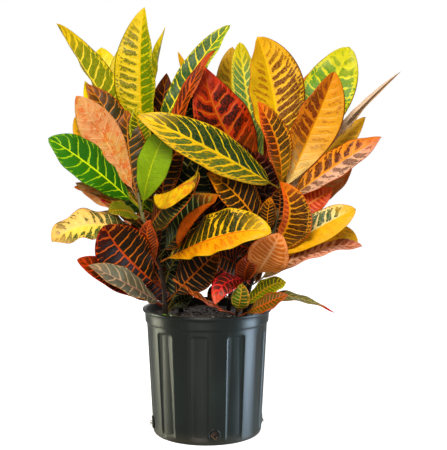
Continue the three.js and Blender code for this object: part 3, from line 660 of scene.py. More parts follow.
class LeafForm:
    """The form of one leaf: its curve from foot to tip, and its section at each share of it."""

    def __init__(self, leaf, chance):
        self.leaf = leaf
        at_stem = stem_share(leaf.stem, leaf.foot)
        centre = stem_place(leaf.stem, at_stem)
        middle, tip = Vector(leaf.middle), Vector(leaf.tip)
        out = middle - centre
        out.z = 0
        foot = centre + out.normalized() * stem_radius(leaf.stem, at_stem) * FOOT_IN_STEM
        self.curve, self.length = foot_to_tip_curve(foot, middle, tip)
        self.petiole = min(PETIOLE_LENGTH / self.length, LONGEST_PETIOLE)
        chord = (tip - foot).normalized()
        face = Vector(UPPER_FACE)
        self.face = (face - chord * face.dot(chord)).normalized()
        self.face.rotate(Matrix.Rotation(math.radians(leaf.turn), 3, chord))
        self.start = chance.uniform(0, math.tau)
        self.twist = chance.uniform(-1, 1) * math.radians(MOST_TWIST_DEGREES)
        self.ups = chance.uniform(0.8, 1.2)

    def blade_share(self, along):
        """Share of the blade's length at a share of the leaf's: 0 where the stalk ends."""
        return (along - self.petiole) / (1 - self.petiole)

    def frame_at(self, along):
        """Place of the rib, and the leaf's up and left there."""
        place, heading = self.curve(along)
        up = (self.face - heading * self.face.dot(heading)).normalized()
        up.rotate(Matrix.Rotation(self.twist * math.sin(along * 5 + self.start), 3, heading))
        return place, up, up.cross(heading)

    def relief(self, along, across, half, opened):
        """How far the blade puffs up between its veins, buckles, and waves at its margins."""
        shape = SHAPES[self.leaf.shape]
        look = LOOKS[self.leaf.look]
        blade = max(self.blade_share(along), 0)
        off = abs(across)
        which = 0 if across > 0 else 1
        row = (blade - look.sweep * off ** VEIN_BEND) * look.veins + (0 if which else VEIN_STAGGER)
        puff = QUILT_HEIGHT * math.sin(math.pi * row) ** 2 * off * (1 - off) * 4 * opened
        spot = Vector((along * self.length / BUCKLE_LENGTH, across * half / BUCKLE_LENGTH, self.start))
        buckle = BUCKLE_HEIGHT * noise.noise(spot) * off
        phase = math.tau * shape.waves * blade * self.ups + self.start + 1.9 * which
        ripple = shape.wave * off ** 2.2 * math.sin(phase)
        ripple *= smooth(0.05, 0.3, blade) * (1 - 0.5 * blade)
        return (puff + buckle + ripple) * opened

    def section(self, along, across, over):
        """How far a point lies out from the rib and above it. across is 1 or -1 at a margin."""
        shape = SHAPES[self.leaf.shape]
        blade = max(self.blade_share(along), 0)
        opened = smooth(0.0, OPENING, blade)
        off = abs(across)
        which = 0 if across > 0 else 1
        # The stalk is round, the blade a thin lens with a raised rib.
        rib = RIB_EXTRA * math.exp(-(off / RIB_REACH) ** 2) * (1 - blade)
        sheet = (BLADE_HALF + rib) * math.sqrt(1 - off ** 8)
        stalk = PETIOLE_RADIUS * math.sqrt(1 - off ** 2)
        thick = mix(stalk, sheet, opened) * over
        outline = OUTLINES.get(self.leaf.name, USUAL_OUTLINE)
        half = mix(PETIOLE_RADIUS, half_width(blade, self.leaf.width, outline), opened)
        half *= 1 + UNEVEN.get(self.leaf.name, 0) * math.copysign(1, across) * opened
        cup = mix(shape.cup_foot[which], shape.cup_tip[which], smooth(0.1, 0.9, blade))
        if abs(cup) < STRAIGHTEST_CUP:
            cup = STRAIGHTEST_CUP
        lump = thick + self.relief(along, across, half, opened)
        wide = half * math.sin(cup * off) / cup - math.sin(cup * off) * lump
        high = half * (1 - math.cos(cup * off)) / cup + math.cos(cup * off) * lump
        return wide, high

    def point(self, loop, along):
        """A point of the skin. loop goes from right to left over the upper face, then back below."""
        place, up, side = self.frame_at(along)
        if along in (0.0, 1.0):
            return place
        across = 1 - abs(4 * loop - 2)
        lean = math.copysign(1, across)
        wide, high = self.section(along, across, 1 if loop < 0.5 else -1)
        crease = CREASES.get(self.leaf.name)
        if crease:
            toward = lean if crease.half == "left" else -lean
            s, wide, high = turned_over(crease, self.length, along * self.length, wide * toward, high)
            wide *= toward
            place, up, side = self.frame_at(s / self.length)
        lift = math.radians(self.leaf.rise)
        sideways = wide * math.cos(lift) - high * math.sin(lift)
        above = wide * math.sin(lift) + high * math.cos(lift)
        return place + side * (sideways * lean) + up * above


def leaf_piece(leaf, material, chance):
    """One leaf: a thin lens with a round stalk, and a map of its own across and along it."""
    form = LeafForm(leaf, chance)
    bm = bmesh.new()
    bmesh.ops.create_grid(bm, x_segments=4 * LEAF_ACROSS, y_segments=LEAF_ALONG, size=1)
    uv = bm.loops.layers.uv.new("leaf")
    for corner in (c for f in bm.faces for c in f.loops):
        x, y, _ = corner.vert.co
        corner[uv].uv = ((x + 1) / 2, form.blade_share((y + 1) / 2))
    for vert in bm.verts:
        x, y, _ = vert.co
        vert.co = form.point((x + 1) / 2, (y + 1) / 2) * MM
    close_seams(bm, POINTED_END)
    return new_object(leaf.name + "_blade", bm, material)


# ---- Materials ----


def colour(text):
    """A colour written as six hex digits, turned into the renderer's linear scale."""
    out = []
    for i in (0, 2, 4):
        c = int(text[i:i + 2], 16) / 255
        out.append(c / 12.92 if c <= 0.04045 else ((c + 0.055) / 1.055) ** 2.4)
    return (*out, 1.0)


class Graph:
    """Adds shader nodes to a node tree and joins them."""

    def __init__(self, tree):
        self.tree = tree

    def node(self, kind, **settings):
        made = self.tree.nodes.new(kind)
        for key, value in settings.items():
            setattr(made, key, value)
        return made

    def feed(self, socket, value):
        if isinstance(value, bpy.types.NodeSocket):
            self.tree.links.new(value, socket)
        else:
            socket.default_value = value

    def place(self):
        """Where a point lies, in metres."""
        return self.node("ShaderNodeTexCoord").outputs["Object"]

    def parts(self, vector):
        """The x, y and z of a vector."""
        made = self.node("ShaderNodeSeparateXYZ")
        self.feed(made.inputs[0], vector)
        return made.outputs

    def math(self, operation, a, b=0.0, c=0.0):
        made = self.node("ShaderNodeMath", operation=operation)
        for socket, value in zip(made.inputs, (a, b, c)):
            self.feed(socket, value)
        return made.outputs[0]

    def step(self, value, low, high):
        """0 below low, 1 above high, smooth between them. low may be above high."""
        made = self.node("ShaderNodeMapRange", interpolation_type="SMOOTHSTEP", clamp=True)
        for key, given in (("Value", value), ("From Min", low), ("From Max", high)):
            self.feed(made.inputs[key], given)
        return made.outputs["Result"]

    # A mix node keeps separate sockets for plain values (2, 3, output 0) and colours (6, 7, output 2).
    def mix(self, share, a, b, blend="MIX"):
        made = self.node("ShaderNodeMix", data_type="RGBA", blend_type=blend)
        self.feed(made.inputs[0], share)
        self.feed(made.inputs[6], a)
        self.feed(made.inputs[7], b)
        return made.outputs[2]

    def value_mix(self, share, a, b):
        made = self.node("ShaderNodeMix", data_type="FLOAT")
        self.feed(made.inputs[0], share)
        self.feed(made.inputs[2], a)
        self.feed(made.inputs[3], b)
        return made.outputs[0]

    def noise(self, place, scale, detail, rough=0.5):
        made = self.node("ShaderNodeTexNoise")
        self.feed(made.inputs["Vector"], place)
        self.feed(made.inputs["Scale"], scale)
        self.feed(made.inputs["Detail"], detail)
        self.feed(made.inputs["Roughness"], rough)
        return made.outputs["Fac"]

    def voronoi(self, place, scale, feature="F1"):
        made = self.node("ShaderNodeTexVoronoi", feature=feature)
        self.feed(made.inputs["Vector"], place)
        self.feed(made.inputs["Scale"], scale)
        return made.outputs["Distance"]

    def stretch(self, place, scale):
        made = self.node("ShaderNodeMapping")
        self.feed(made.inputs["Vector"], place)
        made.inputs["Scale"].default_value = scale
        return made.outputs["Vector"]

    def grey(self, value):
        made = self.node("ShaderNodeCombineColor")
        for socket in made.inputs[:3]:
            self.feed(socket, value)
        return made.outputs[0]

    def bump(self, height, strength, distance):
        made = self.node("ShaderNodeBump")
        self.feed(made.inputs["Height"], height)
        made.inputs["Strength"].default_value = strength
        made.inputs["Distance"].default_value = distance
        return made.outputs["Normal"]


def blank_material(name):
    """A new material, its graph, and the shader that the finish feeds."""
    material = bpy.data.materials.new(name)
    material.use_nodes = True
    g = Graph(material.node_tree)
    shader = next(n for n in material.node_tree.nodes if n.type == "BSDF_PRINCIPLED")
    return material, g, shader


# ---- Finish of a leaf ----

LEAF_INPUTS = (
    ("Left Cell", "Color"), ("Left Flush", "Color"), ("Left Reach", "Float"),
    ("Right Cell", "Color"), ("Right Flush", "Color"), ("Right Reach", "Float"),
    ("Rib", "Color"), ("Margin", "Color"), ("Under", "Color"), ("Under Vein", "Color"),
    ("Tip", "Color"), ("Tip Share", "Float"), ("Foot", "Color"), ("Foot Share", "Float"),
    ("Veins", "Float"), ("Sweep", "Float"), ("Broken", "Float"), ("Blotch", "Float"),
)

# Noise over a leaf, from broad to fine: scale and detail.
LEAF_NOISES = ((24.0, 2.0), (75.0, 3.0), (210.0, 3.0), (620.0, 2.0))

# A blade this dark between its veins has a duller skin (linear scale).
DARK_BLADE = 0.012

# Where on a leaf a point lies: share of the blade's length, how far off the rib (0 to 1), 1 on the
# left half, 1 on the underside, and the four noises.
Spot = namedtuple("Spot", "along off left under broad middle small fine")

# The side veins at a point: how near the nearest is (1 on it), the bright line on it, and strokes,
# streaks and a net that run along the veins.
Veins = namedtuple("Veins", "ridge line stroke streak net")


def leaf_spot(g):
    """Reads the leaf's own map."""
    place = g.place()
    loop, along = g.parts(g.node("ShaderNodeUVMap", uv_map="leaf").outputs[0])[:2]
    turned = g.math("ABSOLUTE", g.math("MULTIPLY_ADD", loop, 4.0, -2.0))
    across = g.math("SUBTRACT", 1.0, turned)
    off = g.math("ABSOLUTE", across)
    left = g.math("GREATER_THAN", across, 0.0)
    under = g.math("GREATER_THAN", loop, 0.5)
    return Spot(along, off, left, under, *(g.noise(place, *size) for size in LEAF_NOISES))


def leaf_veins(g, given, spot):
    """Side veins leave the rib in two rows that don't quite meet, fork, and join near the margin."""
    bent = g.math("MULTIPLY", g.math("POWER", spot.off, VEIN_BEND), given["Sweep"])
    rows = g.math("MULTIPLY", g.math("SUBTRACT", spot.along, bent), given["Veins"])
    rows = g.math("MULTIPLY_ADD", spot.left, VEIN_STAGGER, rows)
    rows = g.math("MULTIPLY_ADD", spot.broad, 0.8, rows)
    rows = g.math("MULTIPLY_ADD", spot.middle, 0.36, rows)
    ridge = g.math("MULTIPLY", g.math("PINGPONG", rows, 0.5), 2.0)
    forked = g.math("MULTIPLY", g.math("PINGPONG", g.math("ADD", rows, 0.5), 0.5), 2.0)
    forked = g.math("MULTIPLY_ADD", g.math("MAXIMUM", ridge, forked), 2.0, -1.0)
    outer = g.step(g.math("MULTIPLY_ADD", spot.middle, 0.6, spot.off), 0.85, 1.15)
    ridge = g.value_mix(outer, ridge, forked)
    line = g.step(g.math("MULTIPLY_ADD", spot.off, -0.08, ridge), 0.76, 0.88)
    joined_at = g.math("MULTIPLY_ADD", spot.middle, 0.3, 0.68)
    looped = g.math("ABSOLUTE", g.math("SUBTRACT", spot.off, joined_at))
    ridge = g.math("MAXIMUM", ridge, g.math("MULTIPLY", g.step(looped, 0.1, 0.0), 0.9))

    def along_veins(out_scale, row_scale):
        strokes = g.node("ShaderNodeCombineXYZ")
        g.feed(strokes.inputs[0], g.math("MULTIPLY", spot.off, out_scale))
        g.feed(strokes.inputs[1], g.math("MULTIPLY", rows, row_scale))
        g.feed(strokes.inputs[2], g.math("MULTIPLY", spot.left, 5.0))
        return strokes.outputs[0]

    stroke = g.noise(along_veins(4.0, 3.2), 1.0, 3.0)
    streak = g.noise(along_veins(3.0, 9.0), 1.0, 2.0)
    net = g.step(g.voronoi(along_veins(9.0, 2.2), 1.0, "DISTANCE_TO_EDGE"), 0.09, 0.02)
    return Veins(ridge, line, stroke, streak, net)


def flushed_share(g, given, spot, veins, reach):
    """1 where the veins' colour has spread, 0 in the cells between them."""
    by_rib = g.step(spot.off, g.math("MULTIPLY_ADD", reach, 0.32, 0.04), 0.0)
    field = g.math("MULTIPLY_ADD", veins.ridge, 0.85, by_rib)
    field = g.math("ADD", field, g.math("MULTIPLY", g.step(spot.off, 0.8, 1.0), 0.5))
    field = g.math("MULTIPLY_ADD", g.math("SUBTRACT", veins.stroke, 0.5), given["Broken"], field)
    field = g.math("MULTIPLY_ADD", g.math("SUBTRACT", spot.small, 0.5), 0.4, field)
    uneven = g.math("MULTIPLY", g.math("SUBTRACT", spot.broad, 0.5), given["Blotch"])
    field = g.math("MULTIPLY_ADD", uneven, 5.0, field)
    field = g.math("MULTIPLY_ADD", g.step(spot.along, 0.75, 1.0), given["Tip Share"], field)
    edge = g.math("SUBTRACT", 1.0, reach)
    return g.step(field, g.math("SUBTRACT", edge, 0.05), g.math("ADD", edge, 0.05))


def upper_face(g, given, spot, veins, ribbed):
    """Colour of the upper face, and of the cells in it."""
    reach = g.value_mix(spot.left, given["Right Reach"], given["Left Reach"])
    flushed = flushed_share(g, given, spot, veins, reach)
    cell = g.mix(spot.left, given["Right Cell"], given["Left Cell"])
    flush = g.mix(spot.left, given["Right Flush"], given["Left Flush"])
    netted = g.math("MULTIPLY_ADD", reach, 0.85, -0.02)
    cell = g.mix(g.math("MULTIPLY", veins.net, netted), cell, flush)
    cell = g.mix(g.math("MULTIPLY", g.step(veins.streak, 0.5, 0.75), netted), cell, flush)
    stained = g.mix(g.math("MULTIPLY", g.step(veins.streak, 0.52, 0.3), 0.22), flush, cell)
    stained = g.mix(g.math("MULTIPLY", g.step(spot.fine, 0.62, 0.72), 0.3), stained, cell)
    tone = g.mix(flushed, cell, stained)
    bright = g.mix(0.08, g.mix(0.3, flush, given["Rib"]), colour("fff0c0"))
    tone = g.mix(g.math("MULTIPLY", veins.line, 0.9), tone, bright)
    onward = g.math("MULTIPLY_ADD", spot.middle, 0.2, spot.along)
    tipped = g.math("MULTIPLY", g.step(onward, 0.8, 1.1), given["Tip Share"])
    tone = g.mix(tipped, tone, given["Tip"])
    footed = g.math("MULTIPLY", g.step(onward, 0.6, 0.15), given["Foot Share"])
    tone = g.mix(footed, tone, g.mix(veins.line, given["Foot"], tone))
    tone = g.mix(ribbed, tone, given["Rib"])
    margin = g.step(g.math("MULTIPLY_ADD", spot.small, 0.06, spot.off), 0.965, 1.0)
    return g.mix(margin, tone, given["Margin"]), cell


def underside(g, given, spot, veins, ribbed, thin, cell):
    """Colour of the paler underside, where the cells only show through."""
    tone = g.mix(g.math("MULTIPLY", g.step(spot.broad, 0.42, 0.62), 0.5), given["Under"], cell)
    tone = g.mix(g.math("MULTIPLY", g.step(veins.streak, 0.45, 0.7), 0.25), tone, given["Under Vein"])
    tone = g.mix(g.math("MULTIPLY", thin, 0.7), tone, given["Under Vein"])
    tone = g.mix(g.math("MULTIPLY", ribbed, 0.75), tone, given["Rib"])
    blotched = g.step(g.math("MULTIPLY_ADD", spot.small, 0.6, spot.middle), 0.82, 0.9)
    return g.mix(g.math("MULTIPLY", blotched, 0.5), tone, given["Margin"])


def leaf_relief(g, spot, thin, ribbed):
    """Sunk rib and veins in a finely uneven skin."""
    height = g.math("MULTIPLY_ADD", thin, -0.6, g.math("MULTIPLY", spot.fine, 0.3))
    height = g.math("MULTIPLY_ADD", ribbed, -0.5, height)
    height = g.math("MULTIPLY_ADD", spot.small, 0.45, height)
    height = g.math("MULTIPLY_ADD", spot.middle, 0.8, height)
    return g.bump(height, 0.6, 0.0009)


def leaf_pattern():
    """The node group that draws one leaf, from the colours and counts it is given."""
    group = bpy.data.node_groups.new("leaf_pattern", "ShaderNodeTree")
    for name, kind in LEAF_INPUTS:
        group.interface.new_socket(name, in_out="INPUT", socket_type="NodeSocket" + kind)
    for name, kind in (("Color", "Color"), ("Roughness", "Float"), ("Normal", "Vector")):
        group.interface.new_socket(name, in_out="OUTPUT", socket_type="NodeSocket" + kind)
    g = Graph(group)
    given = g.node("NodeGroupInput").outputs
    result = g.node("NodeGroupOutput").inputs
    spot = leaf_spot(g)
    veins = leaf_veins(g, given, spot)
    rib_width = g.math("MULTIPLY_ADD", spot.along, -0.04, 0.062)
    ribbed = g.step(spot.off, g.math("MULTIPLY", rib_width, 1.35), g.math("MULTIPLY", rib_width, 0.7))
    thin = g.step(veins.ridge, 0.78, 0.97)

    upper, cell = upper_face(g, given, spot, veins, ribbed)
    tone = g.mix(spot.under, upper, underside(g, given, spot, veins, ribbed, thin, cell))
    stalk = g.step(spot.along, 0.03, -0.02)
    tone = g.mix(stalk, tone, g.mix(0.6, given["Rib"], colour("2e1c10")))
    shade = g.math("MULTIPLY_ADD", spot.broad, 0.5, g.math("MULTIPLY_ADD", spot.small, 0.4, 0.55))
    tone = g.mix(1.0, tone, g.grey(shade), "MULTIPLY")
    specks = g.math("MULTIPLY", g.step(spot.small, 0.64, 0.72), 0.55)
    tone = g.mix(specks, tone, g.mix(0.5, tone, colour("3a2010")))
    vivid = g.node("ShaderNodeHueSaturation")
    vivid.inputs["Saturation"].default_value = 1.2
    vivid.inputs["Value"].default_value = 1.3
    g.feed(vivid.inputs["Color"], tone)
    g.feed(result["Color"], vivid.outputs[0])

    rough = g.math("MULTIPLY_ADD", spot.middle, 0.24, 0.34)
    g.feed(result["Roughness"], g.math("MULTIPLY_ADD", spot.under, 0.16, rough))
    g.feed(result["Normal"], leaf_relief(g, spot, thin, ribbed))
    return group


def leaf_material(name, look, pattern):
    """One leaf's finish: the shared pattern in that leaf's colours."""
    material, g, shader = blank_material("finish_" + name)
    group = g.node("ShaderNodeGroup", node_tree=pattern)
    left_cell, left_flush, left_reach = look.left
    right_cell, right_flush, right_reach = look.right
    values = (
        colour(left_cell), colour(left_flush), left_reach,
        colour(right_cell), colour(right_flush), right_reach,
        colour(look.rib), colour(look.margin), colour(look.under), colour(look.under_vein),
        colour(look.tip[0]), look.tip[1], colour(look.foot[0]), look.foot[1],
        look.veins, look.sweep, look.broken, look.blotch,
    )
    for (key, _), value in zip(LEAF_INPUTS, values):
        group.inputs[key].default_value = value
    g.feed(shader.inputs["Base Color"], group.outputs["Color"])
    g.feed(shader.inputs["Roughness"], group.outputs["Roughness"])
    g.feed(shader.inputs["Normal"], group.outputs["Normal"])
    dark = max(colour(left_cell)[:3]) < DARK_BLADE
    shader.inputs["Specular IOR Level"].default_value = 0.1 if dark else 0.22
    shader.inputs["Coat Weight"].default_value = 0.0 if dark else 0.05
    shader.inputs["Coat Roughness"].default_value = 0.3
    return material


# ---- Finishes of pot, soil and stems ----


def pot_plastic():
    """Dark green-black plastic with faint upright drawing marks, dusty near the ground."""
    material, g, shader = blank_material("dark_pot_plastic")
    place = g.place()
    cloudy = g.noise(place, 14.0, 3.0)
    drawn = g.noise(g.stretch(place, (90, 90, 6)), 1.0, 3.0)
    grain = g.noise(place, 900.0, 2.0)
    tone = g.mix(g.step(cloudy, 0.3, 0.7), colour("0a0f0c"), colour("111a17"))
    tone = g.mix(g.math("MULTIPLY", g.step(drawn, 0.52, 0.8), 0.35), tone, colour("222a26"))
    low = g.step(g.math("MULTIPLY_ADD", cloudy, 0.03, g.parts(place)[2]), 0.045, 0.005)
    tone = g.mix(g.math("MULTIPLY", low, 0.35), tone, colour("5a5240"))
    g.feed(shader.inputs["Base Color"], tone)
    g.feed(shader.inputs["Roughness"], g.math("MULTIPLY_ADD", drawn, 0.16, 0.34))
    shader.inputs["Specular IOR Level"].default_value = 0.36
    shader.inputs["Anisotropic"].default_value = 0.8
    shader.inputs["Anisotropic Rotation"].default_value = 0.25
    height = g.math("MULTIPLY_ADD", grain, 0.3, drawn)
    g.feed(shader.inputs["Normal"], g.bump(height, 0.2, 0.0004))
    return material


def soil_finish():
    """Dark crumbly soil with flecks of bark."""
    material, g, shader = blank_material("damp_potting_soil")
    place = g.place()
    lumps = g.noise(place, 130.0, 4.0, 0.65)
    crumbs = g.voronoi(place, 320.0)
    flecks = g.noise(place, 420.0, 2.0)
    tone = g.mix(g.step(lumps, 0.35, 0.65), colour("17110b"), colour("3a2a1c"))
    tone = g.mix(g.step(flecks, 0.62, 0.7), tone, colour("6a4c30"))
    g.feed(shader.inputs["Base Color"], tone)
    g.feed(shader.inputs["Roughness"], g.math("MULTIPLY_ADD", lumps, 0.2, 0.75))
    height = g.math("MULTIPLY_ADD", crumbs, -0.8, lumps)
    g.feed(shader.inputs["Normal"], g.bump(height, 0.9, 0.003))
    return material


def stem_bark():
    """Dark woody bark drawn out along the stem, greener where the stem is young."""
    material, g, shader = blank_material("stem_bark")
    place = g.place()
    long_grain = g.noise(g.stretch(place, (700, 700, 84)), 1.0, 4.0)
    patches = g.noise(place, 60.0, 3.0)
    tone = g.mix(g.step(long_grain, 0.35, 0.65), colour("120b07"), colour("2c1a11"))
    tone = g.mix(g.math("MULTIPLY", g.step(patches, 0.5, 0.7), 0.5), tone, colour("1c1c0e"))
    young = g.step(g.math("MULTIPLY_ADD", patches, 0.1, g.parts(place)[2]), 0.38, 0.52)
    green = g.mix(long_grain, colour("5c5a30"), colour("9a9460"))
    tone = g.mix(g.math("MULTIPLY", young, 0.8), tone, green)
    g.feed(shader.inputs["Base Color"], tone)
    g.feed(shader.inputs["Roughness"], g.math("MULTIPLY_ADD", patches, 0.2, 0.6))
    shader.inputs["Specular IOR Level"].default_value = 0.2
    g.feed(shader.inputs["Normal"], g.bump(long_grain, 0.7, 0.001))
    return material


def speckled(name, dark, light, scale, roughness):
    """A plain mottled finish for small things."""
    material, g, shader = blank_material(name)
    patches = g.noise(g.place(), scale, 3.0)
    g.feed(shader.inputs["Base Color"], g.mix(g.step(patches, 0.35, 0.65), colour(dark), colour(light)))
    g.feed(shader.inputs["Roughness"], g.math("MULTIPLY_ADD", patches, 0.2, roughness))
    g.feed(shader.inputs["Normal"], g.bump(patches, 0.5, 0.0006))
    return material


# ---- Pot ----

# The side tapers between these heights and radii. The rounded foot stays inside FOOT_RADIUS or
# below FOOT_TOP, the rim starts at WALL_TOP, and a point that lies further in than OUTER_SKIN from
# the side's radius belongs to the inside.
POT_STEPS = 480
SIDE_LOW, SIDE_HIGH = 14, 210
RADIUS_LOW, RADIUS_HIGH = 108, 118
FOOT_RADIUS, FOOT_TOP = 106.5, 4
WALL_TOP = 218
OUTER_SKIN = 2

# Every second panel is pressed in, to its full depth from PANEL_FULL up, and hollowed further in
# its middle. Its top is arched.
PANEL_COUNT = 20
PANEL_TURN_DEGREES = 1
PANEL_FULL = 22
PANEL_TOP = 213
PANEL_ARCH = 3
PANEL_DEPTH = 1.3
FLUTE_DEPTH = 2.2

# Drain holes: their angles and height, the pit where each is, the round rim about it, and the soil
# that shows in it.
HOLES = (-83, 7, 97, 187)
HOLE_HEIGHT = 22
PIT_RADIUS, PIT_OUTER_RADIUS, PIT_DEPTH = 8.0, 10.0, 1.6
RIM_RADIUS, RIM_THICKNESS, RIM_PROUD = 10.8, 1.7, 0.2
PLUG_RADIUS, PLUG_SUNK, PLUG_CRUMBS, PLUG_CRUMB_SIZE = 10.4, 1.2, 0.8, 2.4


def pot_side(z):
    """Radius of the tapered wall at a height."""
    return mix(RADIUS_LOW, RADIUS_HIGH, (z - SIDE_LOW) / (SIDE_HIGH - SIDE_LOW))


def pot_profile():
    """Radius and height from the middle of the underside, up the outside and down the inside."""
    points = [(0, 0), (50, 0), (98, 0), (102, 0.2), (103.6, 1.0), (105.4, 2.6), (106.9, 5), (107.6, 8)]
    # The rings lie closer where the drain holes and the tops of the panels are.
    z = 10
    while z < WALL_TOP:
        points.append((pot_side(z), z))
        z += 2 if z < 40 or z > 195 else 12
    points += [(118.7, 220), (118.9, 222.4), (119.8, 223.2), (121.1, 223.9), (121.5, 225)]
    points += [(121.7, 229), (122.1, 236), (122.5, 242), (123.2, 243.4), (125.2, 244), (126.4, 244.9)]
    points += [(127, 246.6), (126.8, 248.4), (125.8, 249.6), (124.2, 250), (122.4, 249.6), (121.2, 248)]
    points += [(120.4, 243), (118.6, 229), (116.4, 226), (114.6, 205), (106, 18), (104, 4), (0, 3)]
    return points


def spun(points, steps):
    """An outline of radii and heights, spun all the way round."""
    bm = bmesh.new()
    verts = [bm.verts.new((r * MM, 0, z * MM)) for r, z in points]
    edges = [bm.edges.new(pair) for pair in zip(verts, verts[1:])]
    bmesh.ops.spin(bm, geom=verts + edges, cent=(0, 0, 0), axis=(0, 0, 1), angle=math.tau,
                   steps=steps, use_merge=True)
    return bm


def pressed_radius(r, z, degrees):
    """Radius of the wall's outside once its panels and the pits of its drain holes are pressed in."""
    # sideways is -1 and 1 at the edges of a pressed panel, and reach how far inside them a point is.
    sideways = ((degrees - PANEL_TURN_DEGREES) / 360 * PANEL_COUNT) % 2 * 2 - 1
    reach = (1 - abs(sideways)) * pot_side(z) * math.pi / PANEL_COUNT
    below_top = PANEL_TOP - PANEL_ARCH * (1 - smooth(0, 5, reach)) - z
    tall = smooth(0, 4, below_top) * smooth(FOOT_TOP, PANEL_FULL, z)
    press = PANEL_DEPTH * smooth(-0.8, 0.9, reach)
    if reach > 0:
        press += FLUTE_DEPTH * (1 - sideways ** 2)
    pressed = r - press * tall
    for hole in HOLES:
        gap = (degrees - hole + 180) % 360 - 180
        away = math.hypot(math.radians(gap) * r, z - HOLE_HEIGHT)
        pressed -= PIT_DEPTH * (1 - smooth(PIT_RADIUS, PIT_OUTER_RADIUS, away))
    return pressed


def pot_piece(material):
    """The pot: a spun wall with pressed panels, and a shallow pit where each drain hole is."""
    bm = spun(pot_profile(), POT_STEPS)
    for vert in bm.verts:
        r = math.hypot(vert.co.x, vert.co.y) / MM
        z = vert.co.z / MM
        # Only the side's outside is pressed, not the foot, the rim or the inside.
        if r < FOOT_RADIUS or z > WALL_TOP or r < pot_side(z) - OUTER_SKIN or z < FOOT_TOP:
            continue
        pressed = pressed_radius(r, z, math.degrees(math.atan2(vert.co.y, vert.co.x)))
        vert.co.x *= pressed / r
        vert.co.y *= pressed / r
    close_seams(bm)
    return new_object("nursery_pot_wall", bm, material)


def wrap_on_wall(bm, degrees, proud):
    """Bends a flat shape in the XY plane round the pot's wall, centred on a drain hole."""
    for vert in bm.verts:
        x, y, out = vert.co
        z = HOLE_HEIGHT * MM + y
        r = (pot_side(z / MM) + proud) * MM + out
        angle = math.radians(degrees) + x / r
        vert.co = (r * math.cos(angle), r * math.sin(angle), z)


def hole_ring(degrees, material):
    """The thick round rim that stands out around one drain hole."""
    bm = bmesh.new()
    circle = bmesh.ops.create_circle(bm, segments=12, radius=RIM_THICKNESS * MM)
    turn = Matrix.Rotation(math.radians(90), 4, "X")
    outward = Matrix.Translation((RIM_RADIUS * MM, 0, 0))
    bmesh.ops.transform(bm, matrix=outward @ turn, verts=circle["verts"])
    geom = list(bm.verts) + list(bm.edges)
    bmesh.ops.spin(bm, geom=geom, cent=(0, 0, 0), axis=(0, 0, 1), angle=math.tau, steps=48, use_merge=True)
    close_seams(bm)
    wrap_on_wall(bm, degrees, RIM_PROUD)
    return new_object("drain_hole_rim", bm, material)


def hole_plug(degrees, material):
    """Crumbly soil that shows in a drain hole: a square sheet drawn into a disc."""
    bm = bmesh.new()
    bmesh.ops.create_grid(bm, x_segments=20, y_segments=20, size=PLUG_RADIUS * MM)
    for vert in bm.verts:
        x, y, _ = vert.co
        widest = max(abs(x), abs(y))
        if widest > 0:
            scale = widest / math.hypot(x, y)
            x, y = x * scale, y * scale
        crumb = noise.noise(Vector((x / MM / PLUG_CRUMB_SIZE, y / MM / PLUG_CRUMB_SIZE, degrees)))
        vert.co = (x, y, (-PLUG_SUNK + PLUG_CRUMBS * crumb) * MM)
    wrap_on_wall(bm, degrees, 0)
    bmesh.ops.recalc_face_normals(bm, faces=bm.faces)
    return new_object("drain_hole_soil", bm, material)


# ---- Soil and stems ----

# The soil: its level, and the height above which it is crumbly. Its middle crowns, and it has lumps
# and crumbs of these heights and sizes.
SOIL_LEVEL = 232.8
SOIL_FLAT_BELOW = 229
SOIL_RADIUS = 117
SOIL_RINGS = 50
SOIL_STEPS = 240
CROWN_HEIGHT, CROWN_RADIUS = 2.4, 118
LUMP_HEIGHT, LUMP_SIZE = 3.2, 26
CRUMB_HEIGHT, CRUMB_SIZE = 1.5, 6

# A leaf scar is a ring that stands out by its height and fades over this share of the stem.
STEM_SIDES = 18
STEM_RINGS = 110
SCAR_HEIGHT, SCAR_SHARE = 0.55, 0.006
BARK_BUMPS = 0.5


def soil_rise(x, y):
    """How far the crumbly soil stands above its flat level, in millimetres."""
    away = math.hypot(x, y)
    inside = 1 - smooth(100, SOIL_RADIUS, away)
    crown = CROWN_HEIGHT * (1 - (away / CROWN_RADIUS) ** 2)
    lumps = LUMP_HEIGHT * noise.noise(Vector((x / LUMP_SIZE, y / LUMP_SIZE, 1.7)))
    crumbs = CRUMB_HEIGHT * noise.noise(Vector((x / CRUMB_SIZE, y / CRUMB_SIZE, 4.2)))
    return crown + lumps * inside + crumbs * mix(0.3, 1, inside)


def soil_piece(material):
    """The root ball: its crumbly top shows inside the rim."""
    points = [(0, 3.3), (103.5, 3.3), (104.5, 8), (112.6, 205), (115.6, 228), (118, 231.8)]
    points += [(SOIL_RADIUS - SOIL_RADIUS / SOIL_RINGS * i, SOIL_LEVEL) for i in range(SOIL_RINGS)]
    points.append((0, SOIL_LEVEL))
    bm = spun(points, SOIL_STEPS)
    close_seams(bm)
    for vert in bm.verts:
        x, y, z = vert.co / MM
        if z > SOIL_FLAT_BELOW:
            vert.co.z += soil_rise(x, y) * MM
    return new_object("soil_surface", bm, material)


